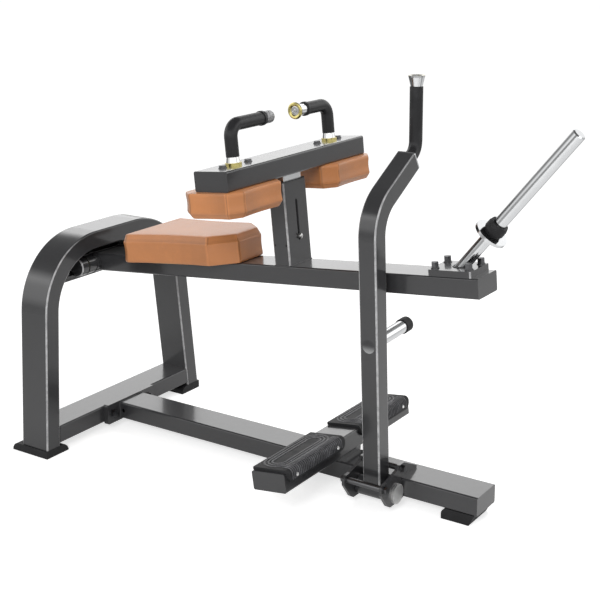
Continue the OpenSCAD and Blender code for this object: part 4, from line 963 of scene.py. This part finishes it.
# Sections of the turned pieces in mm, as radius and height
NEAR_CAP = ((0, 0), (14.6, 0), (14.6, 5), (15.9, 6.5), (15.9, 29), (15.4, 32.5), (13.6, 35.4), (10.5, 37),
            (6, 37.8), (0, 38))
FAR_NECK = ((0, 0), (14.6, 0), (14.9, 24), (15.6, 29), (18.5, 36), (18.5, 38), (0, 38))
FAR_RIM = ((12.2, 37), (20.4, 37), (22.0, 39.2), (21.4, 41.4), (18.2, 43), (14.2, 42.2), (12.2, 40.4),
           (12.2, 37))
FAR_BORE = ((0, 38), (12.4, 38), (12.4, 39.8), (9.4, 40.4), (8.4, 39.0), (4.4, 39.0), (3.8, 40.3),
            (2.2, 40.7), (1.6, 39.6), (0, 39.6))
SCREW = ((0, -2), (2.6, -2), (2.6, 0.7), (2.2, 1.2), (1.0, 1.2), (0.8, 0.5), (0, 0.5))


class CALF_OT_screws(bpy.types.Operator):
    """Adds the small screws on the mast's sleeve that hold its liner"""

    bl_idname = "calf.screws"
    bl_label = "Liner Screws"

    def execute(self, context):
        up, apart = 79 * MM, 18 * MM
        on_sleeve = LEVER @ Matrix.Translation((MAST_AT, -SLEEVE_HALF_DEPTH, up))
        side = on_sleeve @ Matrix.Rotation(QUARTER, 4, "X")
        for name, across in (("rear", -apart), ("front", apart)):
            near = turned(f"liner_screw_{name}_near", SCREW, 24)
            place(near, side @ Matrix.Translation((across, 0, 0)))
            far = copied(near, f"liner_screw_{name}_far", MIRROR_Y)
            for screw in (near, far):
                finish_piece(screw, "lever", FINISHES["black_rubber"], 30)
        return {"FINISHED"}


class CALF_OT_caps(bpy.types.Operator):
    """Adds the caps of the two handles, and the rim of the catch's cap"""

    bl_idname = "calf.caps"
    bl_label = "Handle Caps"

    def execute(self, context):
        middle = LEVER @ Matrix.Translation((MAST_AT, 0, BAR_TOP + HANDLE_UP))
        inwards, outwards = (middle @ Matrix.Rotation(turn, 4, "X") for turn in (QUARTER, -QUARTER))
        near = turned("near_cap", NEAR_CAP)
        place(near, outwards @ Matrix.Translation((0, 0, NEAR_REACH - HANDLE_SIDE - CAP_LENGTH)))
        parts = [(near, "knurled_steel", "chromed_steel")]
        for name, profile, finish, slot in (("far_cap_neck", FAR_NECK, "chromed_steel", "chromed_steel"),
                                            ("far_cap_rim", FAR_RIM, "pale_brass", "pale_brass"),
                                            ("far_cap_bore", FAR_BORE, "zinc_steel", "zinc_steel")):
            piece = turned(name, profile)
            place(piece, inwards @ Matrix.Translation((0, 0, FAR_REACH - HANDLE_SIDE - CAP_LENGTH)))
            parts.append((piece, finish, slot))
        for piece, finish, slot in parts:
            finish_piece(piece, "carriage", FINISHES[finish], 35)
            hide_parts("handle_end_caps")
        _, cap_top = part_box("catch_grip_cap")
        cap = node_middle("catch_grip_cap")
        bpy.ops.mesh.primitive_torus_add(major_radius=18.6 * MM, minor_radius=1.5 * MM, major_segments=72,
                                         minor_segments=12, location=(0, 0, 0))
        rim = added("catch_cap_rim")
        place(rim, Matrix.Translation((cap.x, cap.y, cap_top.z - 1.2 * MM)))
        finish_piece(rim, "catch", FINISHES["pale_brass"], 60)
        return {"FINISHED"}


# Level of light that reflections see, by height: 0 looks straight down and 1 straight up
STUDIO_LEVELS = ((0.0, 0.75), (0.12, 1.45), (0.36, 1.55), (0.46, 2.5), (0.58, 0.14))
STUDIO_FILL = 0.46

# Glow of the floor as the camera and as reflections see it, over the light that falls on it
FLOOR_SEEN = 0.66
FLOOR_IN_REFLECTIONS = 0.12

# Name, place, aim, size and watts
LAMPS = (
    ("key_lamp", (1.2, -3.1, 2.2), (0, 0, 0.5), (1.2, 1.0), 56),
    ("fill_lamp", (3.2, -1.0, 1.8), (0, 0, 0.5), (1.6, 2.2), 4),
    ("top_lamp", (0.2, 1.4, 3.4), (0, 0, 0.4), (3.0, 1.6), 40),
)

CAMERA_AT = (1.7229, -2.483, 1.407)
CAMERA_TURN = (34.62, 17.0, -0.76)      # azimuth, down and roll, in degrees
CAMERA_LENS = 72.18
CAMERA_SENSOR = 36


class CALF_OT_stage(bpy.types.Operator):
    """Sets the pale floor, the studio light and the camera"""

    bl_idname = "calf.stage"
    bl_label = "Stage"

    def execute(self, context):
        scene = context.scene
        scene.view_settings.view_transform = "Standard"
        self.floor()
        self.world(scene)
        for lamp in LAMPS:
            self.lamp(scene, *lamp)
        self.camera(scene)
        return {"FINISHED"}

    def floor(self):
        """A pale floor that keeps the machine's shadow."""
        bpy.ops.mesh.primitive_plane_add(size=60, location=(0, 0, 0))
        floor = added("studio_floor")
        f = Finish("pale_floor")
        path = f.add("ShaderNodeLightPath")
        seen, glossy = f.out(path, "Is Camera Ray"), f.out(path, "Is Glossy Ray")
        grain = f.noise(3, 2.0)
        lit = f.add("ShaderNodeBsdfDiffuse", Color=f.mix(grain, (0.80, 0.80, 0.80), (0.82, 0.82, 0.82)))
        glow = f.add("ShaderNodeEmission", Strength=seen * FLOOR_SEEN + glossy * FLOOR_IN_REFLECTIONS)
        both = f.add("ShaderNodeAddShader")
        f.links.new(lit.outputs[0], both.inputs[0])
        f.links.new(glow.outputs[0], both.inputs[1])
        end = f.add("ShaderNodeOutputMaterial")
        f.links.new(both.outputs[0], end.inputs["Surface"])
        floor.data.materials.append(f.material)

    def world(self, scene):
        """White to the camera, a studio of soft levels to reflections, and plain fill light for the rest."""
        world = bpy.data.worlds.new("studio")
        world.use_nodes = True
        scene.world = world
        nodes, links = world.node_tree.nodes, world.node_tree.links
        nodes.clear()
        coords = nodes.new("ShaderNodeTexCoord")
        parts = nodes.new("ShaderNodeSeparateXYZ")
        links.new(coords.outputs["Generated"], parts.inputs[0])
        ramp = nodes.new("ShaderNodeValToRGB")
        for _ in STUDIO_LEVELS[2:]:
            ramp.color_ramp.elements.new(0.5)
        for element, (height, level) in zip(ramp.color_ramp.elements, STUDIO_LEVELS):
            element.position = height
            element.color = (level, level, level, 1)
        links.new(parts.outputs["Z"], ramp.inputs[0])
        path = nodes.new("ShaderNodeLightPath")
        fill, studio, white = (nodes.new("ShaderNodeBackground") for _ in range(3))
        fill.inputs["Color"].default_value = (1, 1, 1, 1)
        fill.inputs["Strength"].default_value = STUDIO_FILL
        links.new(ramp.outputs["Color"], studio.inputs["Color"])
        white.inputs["Color"].default_value = (1, 1, 1, 1)
        surface = fill
        for ray, background in (("Is Glossy Ray", studio), ("Is Camera Ray", white)):
            mix = nodes.new("ShaderNodeMixShader")
            links.new(path.outputs[ray], mix.inputs[0])
            links.new(surface.outputs[0], mix.inputs[1])
            links.new(background.outputs[0], mix.inputs[2])
            surface = mix
        end = nodes.new("ShaderNodeOutputWorld")
        links.new(surface.outputs[0], end.inputs["Surface"])

    def lamp(self, scene, name, at, aim, size, watts):
        """A soft rectangular lamp that reflections don't show."""
        data = bpy.data.lights.new(name, "AREA")
        data.shape = "RECTANGLE"
        data.size, data.size_y = size
        data.energy = watts
        lamp = bpy.data.objects.new(name, data)
        scene.collection.objects.link(lamp)
        lamp.location = at
        lamp.rotation_mode = "QUATERNION"
        lamp.rotation_quaternion = (Vector(aim) - Vector(at)).to_track_quat("-Z", "Y")
        lamp.visible_glossy = False

    def camera(self, scene):
        """The camera of the photograph."""
        azimuth, pitch, roll = (math.radians(v) for v in CAMERA_TURN)
        level = math.cos(pitch)
        ahead = Vector((-math.sin(azimuth) * level, math.cos(azimuth) * level, -math.sin(pitch)))
        side = Vector((math.cos(azimuth), math.sin(azimuth), 0))
        up = side.cross(ahead)
        right = math.cos(roll) * side + math.sin(roll) * up
        above = right.cross(ahead)
        data = bpy.data.cameras.new("photo_camera")
        data.sensor_width = CAMERA_SENSOR
        data.lens = CAMERA_LENS
        camera = bpy.data.objects.new("photo_camera", data)
        scene.collection.objects.link(camera)
        turn = Matrix((right, above, -ahead)).transposed().to_4x4()
        camera.matrix_world = Matrix.Translation(CAMERA_AT) @ turn
        scene.camera = camera


PIECES = (CALF_OT_finishes, CALF_OT_seat, CALF_OT_thigh_pads, CALF_OT_tread_ribs, CALF_OT_tread_rings,
          CALF_OT_welds, CALF_OT_caps, CALF_OT_screws, CALF_OT_stage)


class CALF_PT_panel(bpy.types.Panel):
    """Lists the pieces in the sidebar"""

    bl_idname = "CALF_PT_panel"
    bl_label = "Calf Raise"
    bl_space_type = "VIEW_3D"
    bl_region_type = "UI"
    bl_category = "Calf Raise"

    def draw(self, context):
        layout = self.layout
        for group in (context.scene.calf_looks, context.scene.calf_pads):
            for key in group.bl_rna.properties.keys():
                if key not in {"rna_type", "name"}:
                    layout.prop(group, key)
        for piece in PIECES:
            layout.operator(piece.bl_idname)


CLASSES = (CalfLookSettings, CalfPadSettings, *PIECES, CALF_PT_panel)


def register():
    for cls in CLASSES:
        bpy.utils.register_class(cls)
    bpy.types.Scene.calf_looks = bpy.props.PointerProperty(type=CalfLookSettings)
    bpy.types.Scene.calf_pads = bpy.props.PointerProperty(type=CalfPadSettings)


def unregister():
    del bpy.types.Scene.calf_pads
    del bpy.types.Scene.calf_looks
    for cls in reversed(CLASSES):
        bpy.utils.unregister_class(cls)


def main():
    """Builds the pieces and the stage."""
    register()
    deselect_all()
    bpy.ops.calf.finishes()
    bpy.ops.calf.seat()
    bpy.ops.calf.thigh_pads()
    bpy.ops.calf.tread_ribs()
    bpy.ops.calf.tread_rings()
    bpy.ops.calf.welds()
    bpy.ops.calf.caps()
    bpy.ops.calf.screws()
    bpy.ops.calf.stage()


if __name__ == "__main__":
    main()
